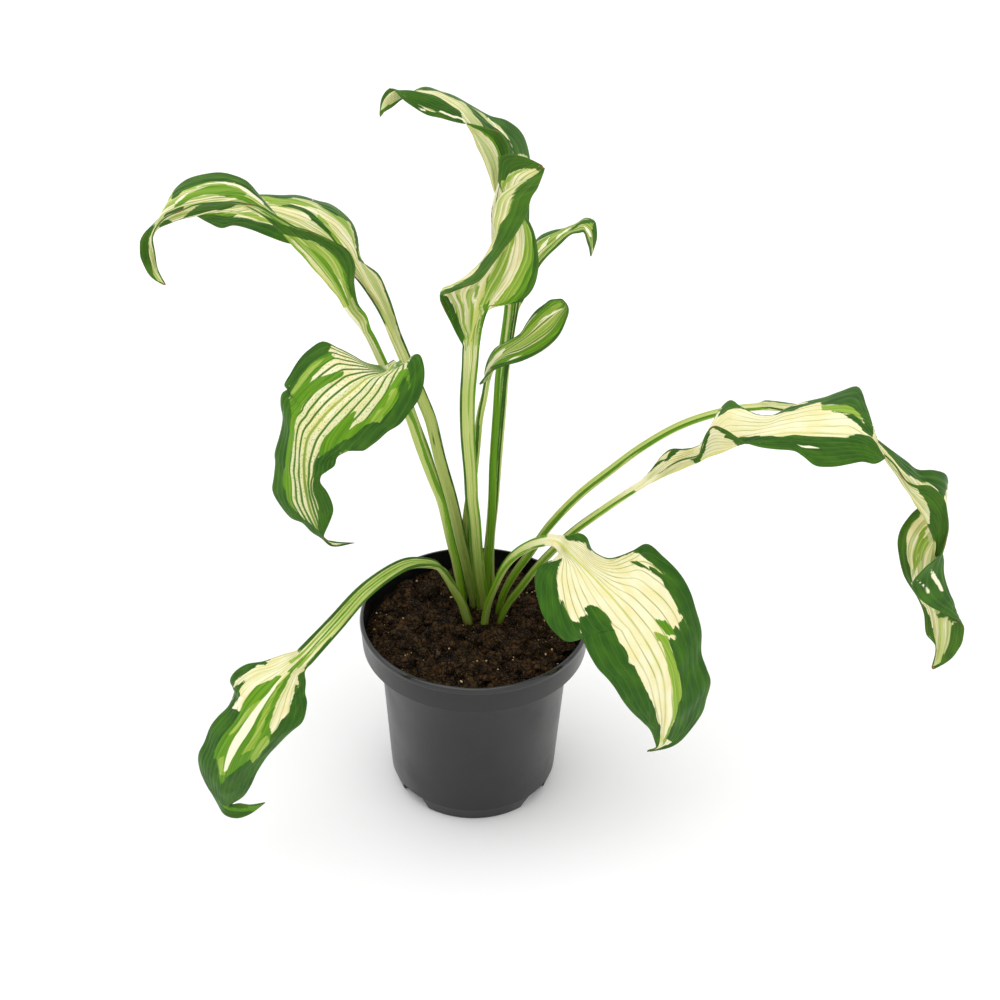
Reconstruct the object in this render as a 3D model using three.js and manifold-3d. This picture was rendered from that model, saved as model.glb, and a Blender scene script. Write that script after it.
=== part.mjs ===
// Potted hosta: a nursery pot full of soil, with eleven variegated leaves on channelled stalks.
// Millimetres, +Z up, +X to the right and +Y away from the front. The origin is the middle of
// the pot's underside.
import * as THREE from "three";
import { mergeVertices } from "three/addons/utils/BufferGeometryUtils.js";
import Module from "manifold-3d";

const wasm = await Module();
wasm.setup();

// Pot: a thin moulding with a deep collar
const POT_HEIGHT = 114.5;
const RIM_RADIUS = 65;
const LIP_RADIUS = 1.5;
const COLLAR_DEPTH = 17.5;
const COLLAR_FOOT_RADIUS = 63.5;
const BODY_TOP_RADIUS = 53.9;
const BODY_FOOT_RADIUS = 47.8;
const FOOT_HEIGHT = 8.7;
const BASE_RADIUS = 45;
const WALL = 1.4;
const POT_SIDES = 60;

// Notches in the base edge, as degrees round from the front, each with a drain hole in its roof
const NOTCH_PLACES = [-47.5, 53.5, 132.5, -126.5];
const NOTCH_HEIGHT = 9;
const NOTCH_INNER_RADIUS = 34;
const NOTCH_FOOT_WIDTH = 29.7;
const NOTCH_TOP_WIDTH = 19.5;
const DRAIN_RADIUS = 4;

// Soil: fills the pot to just under the rim, heaped a little round the stalks
const FIT_GAP = 0.3;
const SOIL_EDGE_LEVEL = 102;
const SOIL_HEAP = 2.5;
const SOIL_GRID = 6;
const SOIL_CLODS = 150;
const SOIL_SEED = 7;

// Stalks: where they start in the soil, and the round holes that they stand in
const HOLE_RADIUS = 4.1;
const HOLE_SIDES = 10;
const HOLE_BACKSET = 0.6;

// Leaves: how finely they are divided, and how thick they are
const RIB_SAMPLES = 1200;
const FOOT_ROWS = [0, 8, 16, 24];
const STALK_ROWS = 7;
const BLADE_ROW_LENGTH = 7;
const BLADE_ROWS_LEAST = 13;
const BLADE_ROWS_MOST = 26;
const COLUMNS = 6;
const LAST_ROW = 0.97;
const BLADE_THICKNESS = 0.8;
const TIP_THICKNESS = 0.6;
const RIB_WIDTH = 0.12;
const RIB_DEPTH = 1;

// How far each half of a leaf bows up over the straight line from rib to margin, as a part of that
// line's length: [place, rise] with the stalk from 0 to 1 and the blade from 1 to 2
const BOW = [[0, -0.25], [1, -0.15], [1.2, 0.07], [1.8, 0.06], [2, 0]];

// Colours
const POT_COLOUR = 0x3b3d40;
const SOIL_COLOUR = 0x2c1e14;
const LEAF_COLOURS = { dark: 0x3f7a33, lime: 0x7fa83c, cream: 0xdfe3b0 };

// The leaves. A rib runs from the foot of the stalk to the tip of the blade, and the blade starts
// at point number "neck". "face" is the way the stalk's channel looks, in degrees round from +X,
// and "turn" is how far it has turned at the neck. "stalk" is [half width in the soil, half way up
// and at the neck, how far the edges rise over the channel, thickness, thickness at the neck].
// Margins and folds are [part of the blade's length, x, y, z].
const LEAVES = [
  {
    name: "leaf_front_left",
    colour: "lime",
    neck: 10,
    face: 48,
    turn: 35,
    stalk: [2.7, 3.2, 4.6, 1.4, 2.6, 1.8],
    rib: [
      [-3, 5.5, 88], [-3.5, 5, 104], [-7, 3, 120], [-11.5, 1, 131.5], [-15.5, -3, 143.5],
      [-20.5, -9, 156], [-27.5, -15, 162.5], [-38, -25, 168.5], [-57.5, -46, 167.5], [-74.5, -64, 157],
      [-89, -79, 148], [-101.5, -90, 139], [-113.5, -98, 126.5], [-122, -103, 114.5], [-129, -106, 102],
      [-133.5, -106, 84.5], [-135.5, -102, 68], [-133, -98, 56], [-126, -97, 53.5], [-118.5, -98, 57],
      [-111, -100, 64]
    ],
    left: [
      [.05, -88.5, -81.5, 141], [.12, -88.5, -83, 134.5], [.2, -89, -85, 129], [.28, -88, -88, 123.5],
      [.35, -90, -92.5, 116], [.42, -96, -94.5, 110.5], [.5, -103, -95.5, 102.5],
      [.57, -110, -96.5, 93.5], [.63, -115.5, -97.5, 83.5], [.68, -119, -98.5, 75],
      [.73, -123.5, -97.5, 66], [.78, -130, -96.5, 59.5], [.85, -126, -97.5, 60.5],
      [.92, -119.5, -98.5, 60.5], [1, -111, -100, 64]
    ],
    right: [
      [.05, -101, -76.5, 147.5], [.1, -110.5, -76.5, 143], [.16, -120, -76.5, 140.5],
      [.22, -126.5, -79, 136.5], [.27, -128.5, -79.5, 131], [.31, -126.5, -80, 126],
      [.36, -129, -85, 120], [.42, -135, -88.5, 114.5], [.48, -139.5, -90, 108],
      [.53, -142.5, -92.5, 100.5], [.58, -146, -94, 93], [.64, -146, -95, 83], [.69, -143.5, -96, 74],
      [.74, -139.5, -97.5, 65.5], [.78, -137, -97.5, 58], [.85, -131, -97.5, 50],
      [.92, -121.5, -98, 52.5], [1, -111, -100, 64]
    ],
  },
  {
    name: "leaf_front_right",
    colour: "cream",
    neck: 8,
    face: 155,
    turn: -30,
    stalk: [2.7, 3, 2.9, 1.3, 2.6, 1.8],
    rib: [
      [4.5, 3, 88], [5, 2.5, 104], [7, 1, 121], [11, -3, 138.5], [15.5, -7, 153.5], [21, -11, 165],
      [27, -14, 172.5], [34.5, -18, 179.5], [43, -23, 184], [53, -31, 178.5], [66.5, -40, 168.5],
      [76.5, -48, 161], [87, -55, 150], [94.5, -60, 139.5], [101, -64, 125.5], [103.5, -66, 107.5],
      [104, -65, 88.5], [103, -63, 75], [96, -59, 66.5]
    ],
    left: [
      [.03, 49.5, -21, 186.5], [.07, 55.5, -20, 187.5], [.11, 59.5, -20, 184.5], [.15, 62.5, -19, 176],
      [.2, 70, -20.5, 171.5], [.26, 78, -24, 175.5], [.3, 85, -26, 181], [.34, 91, -27, 186],
      [.4, 100.5, -30.5, 180], [.46, 109, -33.5, 172], [.52, 115, -36.5, 162.5], [.58, 119, -40, 151.5],
      [.64, 122.5, -43.5, 139.5], [.69, 123, -47, 128], [.74, 126.5, -49.5, 118.5],
      [.78, 129, -50.5, 111], [.83, 127.5, -51.5, 99], [.87, 126, -52.5, 90], [.91, 119.5, -56, 79.5],
      [.95, 111, -59, 71], [1, 96, -59.5, 66]
    ],
    right: [
      [.03, 44.5, -25.5, 178], [.065, 41.5, -27.5, 175], [.105, 37.5, -27.5, 173],
      [.145, 33.5, -28.5, 169.5], [.18, 32, -32.5, 164], [.21, 34, -38.5, 156],
      [.26, 37.5, -44.5, 148.5], [.31, 43, -49.5, 143], [.35, 49.5, -52, 139], [.385, 55.5, -52, 140.5],
      [.41, 57, -52, 144], [.43, 59, -54.5, 139.5], [.46, 61, -56.5, 135.5], [.5, 65.5, -60, 128.5],
      [.55, 71.5, -62, 122], [.6, 76, -63, 116], [.65, 80, -64, 109], [.71, 85.5, -64, 100.5],
      [.78, 92.5, -63.5, 92], [.85, 97.5, -62.5, 84.5], [.9, 100, -62.5, 77], [.94, 100.5, -63, 72.5],
      [1, 96, -59.5, 66]
    ],
  },
  {
    name: "leaf_right_near",
    colour: "cream",
    neck: 8,
    face: 172,
    turn: 0,
    stalk: [2.6, 2.8, 2.8, 1.3, 2.4, 1.6],
    rib: [
      [12.5, 7, 88], [13.5, 7, 104], [18.5, 6, 118.5], [25, 4, 131], [33, 2, 146], [41.5, 0, 159.5],
      [53, -4, 176.5], [68, -9, 194.5], [87.5, -15, 215.5], [99, -19, 225.5], [110, -22, 234],
      [119, -24, 241], [129, -26, 247], [138, -28, 253], [155, -31, 260], [175.5, -33, 262],
      [194.5, -35, 261.5], [203.5, -37, 257.5], [209.5, -39, 251.5]
    ],
    left: [
      [.04, 91.5, -13, 223.5], [.08, 96.5, -11.5, 231], [.12, 101, -12.5, 237],
      [.18, 108.5, -15, 239.5], [.24, 115, -13, 239.5], [.29, 118.5, -11, 241.5], [.32, 123, -4.5, 247],
      [.35, 127.5, 2, 252.5], [.38, 132.5, 6, 256], [.43, 138.5, 0.5, 256], [.48, 145.5, -5.5, 255.5],
      [.54, 154, -9.5, 257.5], [.6, 162, -7, 260.5], [.66, 171, -3.5, 262], [.72, 181.5, -1, 263.5],
      [.78, 190, 1, 266], [.82, 199, 3.5, 267.5], [.87, 202, -11, 264.5], [.93, 204, -25, 260.5],
      [.96, 206, -33.5, 256], [1, 209.5, -39, 251.5]
    ],
    right: [
      [.07, 95.5, -19, 226], [.15, 104, -23, 236.5], [.2, 109.5, -26, 241], [.23, 115, -27.5, 244],
      [.26, 116, -28.5, 250], [.29, 118, -27, 257], [.31, 120.5, -26, 260.5],
      [.35, 126.5, -29.5, 261.5], [.39, 134, -33.5, 258.5], [.45, 143.5, -37, 256.5],
      [.5, 152.5, -39.5, 256.5], [.55, 161, -41.5, 257], [.61, 166.5, -44, 255],
      [.66, 172, -46.5, 251.5], [.72, 180, -47, 251], [.79, 189, -46, 252], [.85, 196, -45, 253],
      [.91, 202.5, -44.5, 251.5], [1, 209.5, -39, 251.5]
    ],
  },
  {
    name: "leaf_right_far",
    colour: "dark",
    neck: 11,
    face: 178,
    turn: 5,
    stalk: [2.6, 3, 2.6, 1.2, 2.6, 1.6],
    rib: [
      [11.5, 15, 88], [12.5, 15.5, 104], [16, 15.5, 119], [22, 16, 132.5], [30.5, 17, 146.5],
      [40.5, 17, 165], [56.5, 17, 186.5], [72.5, 16, 203.5], [89.5, 16, 219.5], [109.5, 15, 234.5],
      [129.5, 14, 243.5], [148, 13, 247.5], [169, 12, 247], [191, 10, 241.5], [208.5, 8, 233],
      [219, 6, 222.5], [229, 4, 209.5], [239, 2, 195], [247, 0, 183], [252, -2, 171], [252, -3, 158],
      [253, -4, 145], [256.5, -5, 131.5], [261.5, -5, 117.5], [264, -5, 103], [264, -5, 91],
      [261.5, -5, 81.5]
    ],
    left: [
      [.1, 156.5, 20, 247.5], [.25, 189.5, 20, 241], [.36, 211.5, 19, 228.5], [.42, 224.5, 17, 219],
      [.47, 234.5, 18.5, 210.5], [.51, 242.5, 20.5, 203.5], [.54, 252, 25.5, 200],
      [.57, 260.5, 29.5, 194], [.6, 261.5, 31, 183], [.63, 247, 26, 174], [.66, 238.5, 17, 170.5],
      [.7, 235, 12.5, 163], [.74, 236.5, 9.5, 152.5], [.78, 239.5, 7.5, 143], [.815, 244, 7.5, 134.5],
      [.85, 250.5, 5.5, 125], [.88, 254.5, 4, 116], [.91, 256.5, 1, 105], [.95, 263, 0, 96.5],
      [1, 261.5, -5, 81.5]
    ],
    right: [
      [.1, 156.5, 11, 249], [.25, 187, 7.5, 241], [.36, 209.5, 3.5, 231.5], [.42, 223, -0.5, 222],
      [.46, 230, -3, 213], [.49, 236, -2, 209], [.53, 246, 1, 206], [.56, 252.5, -1.5, 200.5],
      [.6, 256, -3.5, 190.5], [.65, 257.5, -4.5, 177.5], [.7, 254, -9.5, 167], [.74, 246, -13.5, 162],
      [.78, 240, -15.5, 150.5], [.82, 252, -14, 135.5], [.85, 272.5, -8, 120], [.88, 276, -7, 108.5],
      [.92, 274, -6, 96.5], [1, 261.5, -5, 81.5]
    ],
    foldRight: [
      [.72, 258, -2.5, 160.5], [.76, 259, -6, 151.5], [.79, 263, -7, 140.5], [.83, 268.5, -4.5, 128.5],
      [.86, 269, -5, 119]
    ],
  },
  {
    name: "leaf_left_near",
    colour: "dark",
    neck: 13,
    face: -8,
    turn: -40,
    stalk: [2.6, 3.3, 3.3, 1.8, 3, 2.2],
    rib: [
      [-6, 14, 88], [-6.5, 14, 104], [-7, 15, 115], [-8.5, 16, 127], [-11, 17, 140.5], [-14, 18, 153.5],
      [-19.5, 21, 179], [-24, 22, 191.5], [-28.5, 23, 204.5], [-32.5, 24, 217], [-36.5, 25, 230.5],
      [-43.5, 26, 247], [-50.5, 28, 262], [-59.5, 29, 282.5], [-67.5, 30, 293], [-74, 31, 304],
      [-82, 32, 314], [-88.5, 33, 322], [-97, 34, 332.5], [-104.5, 34, 342], [-112, 34, 348.5],
      [-122.5, 33, 353.5], [-134.5, 31, 351.5], [-145.5, 29, 349.5], [-156.5, 27, 347],
      [-164.5, 25, 343.5], [-168, 23, 336.5], [-168, 21, 328], [-165.5, 20, 319.5], [-160.5, 19, 313]
    ],
    left: [
      [.04, -59, 31, 290.5], [.1, -63.5, 30, 299.5], [.16, -65, 30.5, 310], [.22, -64.5, 32.5, 320],
      [.27, -68, 33, 328], [.33, -76.5, 31.5, 334.5], [.39, -85.5, 30, 340], [.45, -95, 27, 345],
      [.51, -105.5, 27, 352], [.57, -113.5, 27, 356.5], [.63, -123, 24.5, 359.5],
      [.68, -133.5, 22, 360.5], [.74, -143.5, 21, 359.5], [.79, -152, 20, 356],
      [.84, -161.5, 18.5, 350.5], [.88, -165.5, 18.5, 343], [.92, -165.5, 20, 333],
      [.96, -165, 21, 322], [1, -160.5, 19, 313]
    ],
    right: [
      [.06, -64, 38.5, 289.5], [.16, -73.5, 46.5, 299.5], [.27, -83, 50.5, 311.5], [.36, -93, 52, 320],
      [.43, -101.5, 52, 330], [.48, -108.5, 53, 340.5], [.53, -115, 51.5, 350.5],
      [.58, -122, 52.5, 358], [.63, -130.5, 54, 360.5], [.69, -141, 54.5, 360],
      [.74, -151.5, 52.5, 357.5], [.78, -157.5, 49, 353.5], [.82, -160.5, 43, 346.5],
      [.85, -166.5, 36.5, 341.5], [.88, -172.5, 29.5, 337.5], [.91, -174.5, 24.5, 332],
      [.94, -172, 22, 323.5], [.97, -168, 20, 317.5], [1, -160.5, 19, 313]
    ],
  },
  {
    name: "leaf_left_far",
    colour: "cream",
    neck: 11,
    face: -30,
    turn: 10,
    stalk: [2.6, 3.2, 3.2, 1.8, 3, 2.2],
    rib: [
      [0, 18, 88], [0, 18.5, 104], [-0.5, 20, 111], [-3, 22.5, 122], [-5.5, 26, 133.5],
      [-8.5, 29.5, 145], [-14, 34, 170], [-20.5, 38, 194], [-26, 42, 218], [-30.5, 44, 230],
      [-39, 48, 250.5], [-45.5, 52, 265.5], [-52, 57, 278.5], [-59.5, 62, 289.5], [-66, 67, 301],
      [-72, 71, 310.5], [-81.5, 75, 319.5], [-93.5, 79, 325], [-107, 82, 327], [-121, 84, 326.5],
      [-134.5, 85, 324], [-144.5, 85, 322], [-153.5, 84, 320.5]
    ],
    left: [
      [.06, -52, 54, 275.5], [.12, -58, 57.5, 285], [.18, -65, 61, 294], [.25, -73.5, 64.5, 302],
      [.33, -84, 64.5, 308.5], [.41, -92.5, 63, 313.5], [.5, -103.5, 63, 316], [.58, -112.5, 65, 318.5],
      [.66, -122.5, 69, 320.5], [.74, -131.5, 73, 320.5], [.82, -138.5, 74.5, 318],
      [.9, -146, 79.5, 318.5], [1, -153.5, 84, 320.5]
    ],
    right: [
      [.06, -46, 61, 276.5], [.12, -50, 68, 284], [.18, -55, 75, 291], [.24, -63.5, 80, 295.5],
      [.29, -66.5, 84.5, 300.5], [.34, -68, 93, 308], [.39, -72.5, 97.5, 313.5], [.44, -80.5, 102, 318],
      [.5, -89, 102.5, 320.5], [.57, -98.5, 103.5, 323], [.65, -108.5, 101.5, 324],
      [.73, -119.5, 100, 325], [.82, -130.5, 96.5, 325], [.9, -141.5, 92, 324], [1, -153.5, 84, 320.5]
    ],
  },
  {
    name: "leaf_left_hanging",
    colour: "cream",
    neck: 15,
    face: 30,
    turn: -55,
    stalk: [2.3, 2.4, 2.1, 1.2, 2.4, 1.8],
    rib: [
      [-6, 21.5, 88], [-7, 22, 104], [-6.5, 24, 110.5], [-9.5, 27, 122], [-13, 32, 140],
      [-18, 37, 160.5], [-23.5, 40, 179], [-29, 41, 199], [-34.5, 41, 216.5], [-39, 40, 232.5],
      [-43, 39, 245], [-43.5, 37, 253.5], [-43.5, 32, 260.5], [-43, 26, 265], [-44, 18, 269],
      [-45.5, 9, 272.5], [-48, 0, 274.5], [-57.5, -7, 274.5], [-66, -13, 270], [-75, -19, 264.5],
      [-82.5, -24, 257.5], [-87, -27, 251.5], [-89, -30, 242.5], [-89.5, -31, 232], [-89, -31, 221.5],
      [-87.5, -30, 209.5], [-84.5, -28, 196.5], [-82, -26, 188], [-77, -24, 182], [-64, -21, 180]
    ],
    left: [
      [.03, -38, 3, 278.5], [.06, -33.5, 0.5, 285], [.09, -30, -2, 287], [.12, -28, -5.5, 283.5],
      [.16, -27.5, -9, 277], [.2, -29.5, -12.5, 269], [.25, -35, -16, 261], [.3, -40, -19, 255.5],
      [.35, -46.5, -20.5, 251.5], [.4, -53.5, -22.5, 245.5], [.44, -58.5, -23.5, 242],
      [.49, -66, -22.5, 241], [.53, -72.5, -23, 237.5], [.57, -74.5, -24, 232],
      [.61, -80.5, -24, 227.5], [.65, -82, -25, 222.5], [.69, -78.5, -26.5, 217.5],
      [.73, -76, -28, 212], [.77, -75.5, -27.5, 205.5], [.81, -78, -27, 197], [.85, -81, -27, 188],
      [.91, -75.5, -23.5, 182.5], [1, -64, -21, 180]
    ],
    right: [
      [.03, -48.5, 7.5, 274], [.08, -58.5, 5, 277.5], [.12, -65.5, 6.5, 281], [.16, -73, 8.5, 284],
      [.2, -81, 10.5, 286.5], [.24, -88.5, 6, 283.5], [.28, -93, 2, 280], [.32, -97, -2, 274.5],
      [.36, -100, -5.5, 269.5], [.385, -98, -5.5, 267.5], [.41, -101, -7, 266], [.45, -102, -9.5, 260],
      [.49, -101, -12, 253.5], [.53, -102.5, -14, 245.5], [.57, -105.5, -17, 235.5],
      [.61, -105.5, -18.5, 229.5], [.65, -106.5, -20.5, 221.5], [.69, -107.5, -21, 214],
      [.73, -104.5, -22.5, 207], [.77, -98.5, -24.5, 199], [.81, -92, -23.5, 194.5],
      [.84, -87.5, -24.5, 189.5], [.87, -82.5, -24.5, 185.5], [.92, -77, -24.5, 180],
      [1, -64, -21, 180]
    ],
  },
  {
    name: "leaf_centre_twisted",
    colour: "lime",
    neck: 12,
    face: 270,
    turn: -15,
    stalk: [2.6, 3, 4, 1.6, 2.8, 2.2],
    rib: [
      [4, 12, 88], [4, 12, 104], [4.5, 12.5, 115.5], [2.5, 13, 129.5], [0.5, 14, 150], [-1, 15, 170],
      [-2.5, 15.5, 183], [-3.5, 17, 202], [-5, 18, 221], [-5.5, 19, 233.5], [-5.5, 20, 249],
      [-4.5, 21, 267], [-4, 22, 279], [-2, 23, 292.5], [0.5, 24, 303], [4, 25, 313.5], [8.5, 25, 323.5],
      [12.5, 26, 333.5], [14.5, 26, 344], [15.5, 27, 353], [17.5, 28, 361.5], [23.5, 29, 370.5],
      [32.5, 30, 379]
    ],
    left: [
      [.06, -10.5, 23, 282.5], [.12, -14.5, 26, 290.5], [.18, -18, 27, 297.5], [.22, -20, 25.5, 304.5],
      [.3, -14, 18, 313], [.38, -6.5, 12.5, 319.5], [.45, 0.5, 9, 325.5], [.52, 6.5, 10.5, 333.5],
      [.6, 13, 12, 342.5], [.68, 19, 14.5, 350.5], [.74, 23.5, 18.5, 357.5], [.82, 26, 21, 366.5],
      [.89, 29, 23, 371], [.95, 31.5, 27.5, 376], [1, 32.5, 30, 379]
    ],
    right: [
      [.05, 2.5, 27.5, 288], [.1, 5, 30.5, 295.5], [.15, 9.5, 30.5, 299], [.22, 16.5, 28.5, 300.5],
      [.3, 22.5, 26, 304], [.38, 28, 25.5, 311.5], [.45, 30.5, 28, 321], [.52, 30, 32.5, 330],
      [.58, 27.5, 38, 339], [.64, 21.5, 41.5, 348.5], [.7, 14.5, 42.5, 355], [.76, 10, 41.5, 362.5],
      [.82, 9.5, 41.5, 372], [.87, 10.5, 42, 378.5], [.92, 17, 38, 381.5], [.96, 24.5, 33.5, 381.5],
      [1, 32.5, 30, 379]
    ],
    foldLeft: [
      [.12, -10.5, 28, 291.5], [.18, -12.5, 30.5, 299], [.22, -15.5, 29.5, 306.5],
      [.3, -10.5, 27, 313.5], [.38, -4.5, 24, 320.5], [.45, 0.5, 23, 327.5], [.52, 5, 23.5, 334.5],
      [.6, 8, 24, 343.5], [.68, 7.5, 25, 351], [.74, 8, 25.5, 357], [.82, 11, 26, 364.5],
      [.9, 19.5, 27.5, 371]
    ],
  },
  {
    name: "leaf_top_arching",
    colour: "dark",
    neck: 10,
    face: 20,
    turn: 70,
    stalk: [2.7, 3.7, 3.9, 2, 3.2, 2.4],
    rib: [
      [5.5, 22.5, 88], [6, 23, 104], [6, 25, 115], [7, 28, 132.5], [8, 30, 145], [9.5, 33, 171],
      [10, 37, 195.5], [11.5, 41, 226], [12.5, 44, 246.5], [15, 47, 268.5], [17, 50, 287],
      [17.5, 53, 301], [17.5, 55, 315], [15.5, 56, 329], [12, 56, 342.5], [7.5, 55, 353.5],
      [4, 54, 366], [-0.5, 52, 378], [-4.5, 50, 388.5], [-9, 48, 397.5], [-15.5, 46, 404.5],
      [-22.5, 43, 409.5], [-30.5, 41, 413], [-38, 39, 415], [-43.5, 37, 414.5], [-48, 35, 410.5],
      [-50.5, 34, 402.5]
    ],
    left: [
      [.1, 10, 48, 306.5], [.2, 7, 45.5, 322.5], [.28, 6, 46, 335.5], [.34, 6.5, 48, 347.5],
      [.39, 10, 50.5, 360], [.43, 14.5, 52.5, 370], [.47, 14, 52.5, 379.5], [.51, 10, 52, 386.5],
      [.56, 3, 48, 391], [.61, -5.5, 44, 395], [.67, -13, 39, 398.5], [.72, -19.5, 36.5, 401.5],
      [.77, -26.5, 34.5, 404], [.82, -33.5, 34, 408.5], [.87, -39.5, 32, 414.5],
      [.91, -44.5, 36.5, 417.5], [.95, -49, 37.5, 412], [1, -50.5, 34, 402.5]
    ],
    right: [
      [.1, 23, 57, 298.5], [.2, 25.5, 62.5, 310.5], [.28, 26, 68, 324], [.34, 26, 72, 337],
      [.39, 26.5, 76, 348], [.43, 25.5, 81, 360.5], [.47, 21.5, 83.5, 371.5], [.51, 14, 82, 379],
      [.56, 4.5, 76.5, 384.5], [.61, -4, 72, 391.5], [.66, -13, 67.5, 399], [.71, -21, 63, 404],
      [.77, -29, 56.5, 409], [.82, -34.5, 49.5, 409.5], [.87, -40, 42.5, 408.5],
      [.91, -44.5, 36.5, 407], [.95, -48, 33, 406], [1, -50.5, 34, 402.5]
    ],
  },
  {
    name: "leaf_small_curled",
    colour: "lime",
    neck: 11,
    face: 250,
    turn: 80,
    stalk: [2.3, 2.8, 3.3, 1.6, 2.4, 1.6],
    rib: [
      [-0.5, 27.5, 88], [-1, 28, 104], [-2.5, 31, 112.5], [-4, 33, 128.5], [-5, 36, 144],
      [-4.5, 38, 156.5], [-3, 39, 170], [-1.5, 39, 187], [0, 38, 204.5], [1.5, 36, 224], [4, 33, 240.5],
      [6, 31, 253.5], [9.5, 30, 263], [16, 30, 270], [23.5, 31, 275], [30.5, 32, 280.5], [37, 35, 285],
      [42, 39, 288.5], [46, 44, 290.5], [44.5, 49, 292]
    ],
    left: [
      [.04, 4, 33.5, 252.5], [.16, 5, 35.5, 260], [.26, 9, 38.5, 266.5], [.36, 16, 40, 270.5],
      [.46, 22.5, 42, 274], [.56, 26, 45, 279], [.66, 30.5, 48, 284.5], [.76, 35.5, 50, 288],
      [.86, 39.5, 50.5, 290.5], [1, 44.5, 49, 292]
    ],
    right: [
      [.08, 1, 22.5, 254], [.16, 3.5, 20, 259.5], [.26, 8.5, 19.5, 265], [.36, 15.5, 18.5, 269],
      [.46, 23, 18.5, 271.5], [.56, 31.5, 19, 276], [.66, 38.5, 21.5, 280.5], [.76, 43.5, 26, 285],
      [.86, 47, 32.5, 291], [.94, 47, 41.5, 292.5], [1, 44.5, 49, 292]
    ],
  },
  {
    name: "leaf_back_small",
    colour: "lime",
    neck: 9,
    face: 225,
    turn: 10,
    stalk: [2.2, 2.4, 2.6, 1.4, 2.2, 1.6],
    rib: [
      [8.5, 30, 88], [9, 30.5, 104], [8.5, 36, 115.5], [8.5, 43, 135.5], [10.5, 49, 159.5],
      [12, 54, 184], [14, 60, 213.5], [15.5, 65, 237], [18, 69, 257], [20, 73, 269.5], [23, 77, 281],
      [28, 81, 290], [33, 85, 297.5], [39, 87, 303.5], [45, 89, 308.5], [51, 90, 311.5], [56, 90, 314],
      [60, 89, 311.5], [61.5, 88, 305], [61, 86, 297]
    ],
    left: [
      [.12, 20.5, 81, 278.5], [.25, 23.5, 90.5, 289], [.38, 31.5, 99.5, 300], [.5, 39.5, 100.5, 305],
      [.6, 47, 99.5, 307.5], [.7, 53.5, 99, 311], [.79, 60.5, 98.5, 314], [.86, 63.5, 96, 312],
      [.93, 64, 91.5, 305], [1, 61, 86, 297]
    ],
    right: [
      [.12, 25.5, 74, 279], [.25, 29, 75, 288], [.36, 32.5, 78, 295], [.46, 38.5, 80, 302.5],
      [.56, 45, 82, 308.5], [.65, 50.5, 85, 312], [.74, 55.5, 85, 313], [.83, 58, 84, 309.5],
      [.92, 60, 85.5, 302.5], [1, 61, 86, 297]
    ],
  },
];

// A smooth curve through values at uneven places: its slope at each place leans to the nearer one
function smoothCurve(places, values) {
  const last = places.length - 1;
  const step = (i) => places[i + 1] - places[i];
  const rise = (i) => values[i + 1].map((value, k) => (value - values[i][k]) / step(i));
  const slopes = places.map((_, i) => {
    if (i === 0) return rise(0);
    if (i === last) return rise(last - 1);
    const before = step(i - 1);
    const after = step(i);
    const back = rise(i - 1);
    return rise(i).map((ahead, k) => (after * back[k] + before * ahead) / (before + after));
  });
  return (place) => {
    const x = Math.min(Math.max(place, places[0]), places[last]);
    let i = 0;
    while (i < last - 1 && x >= places[i + 1]) i += 1;
    const h = step(i);
    const t = (x - places[i]) / h;
    const fromValue = 2 * t ** 3 - 3 * t ** 2 + 1;
    const fromSlope = (t ** 3 - 2 * t ** 2 + t) * h;
    const toValue = 3 * t ** 2 - 2 * t ** 3;
    const toSlope = (t ** 3 - t ** 2) * h;
    return values[i].map((value, k) => fromValue * value + fromSlope * slopes[i][k]
      + toValue * values[i + 1][k] + toSlope * slopes[i + 1][k]);
  };
}

// Straight steps between rows of [place, value, value, ...]
function steps(rows, column) {
  return (place) => {
    const after = rows.findIndex((row) => row[0] >= place);
    if (after === 0) return rows[0][column];
    if (after < 0) return rows[rows.length - 1][column];
    const [from, to] = [rows[after - 1], rows[after]];
    const t = (place - from[0]) / (to[0] - from[0]);
    return from[column] + (to[column] - from[column]) * t;
  };
}

// A stalk's section along its length: [place, half width, edge rise, thickness]
function stalkRows([foot, middle, top, lift, thickness, topThickness]) {
  return [
    [0, foot, 0.8, 2.8],
    [0.25, (foot + middle) / 2, lift, thickness],
    [0.5, middle, lift, thickness],
    [0.9, top, lift, (thickness + topThickness) / 2],
    [1, top * 1.1, lift, topThickness],
  ];
}

const vector = (values) => new THREE.Vector3(...values);
const clamp01 = (value) => THREE.MathUtils.clamp(value, 0, 1);

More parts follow.
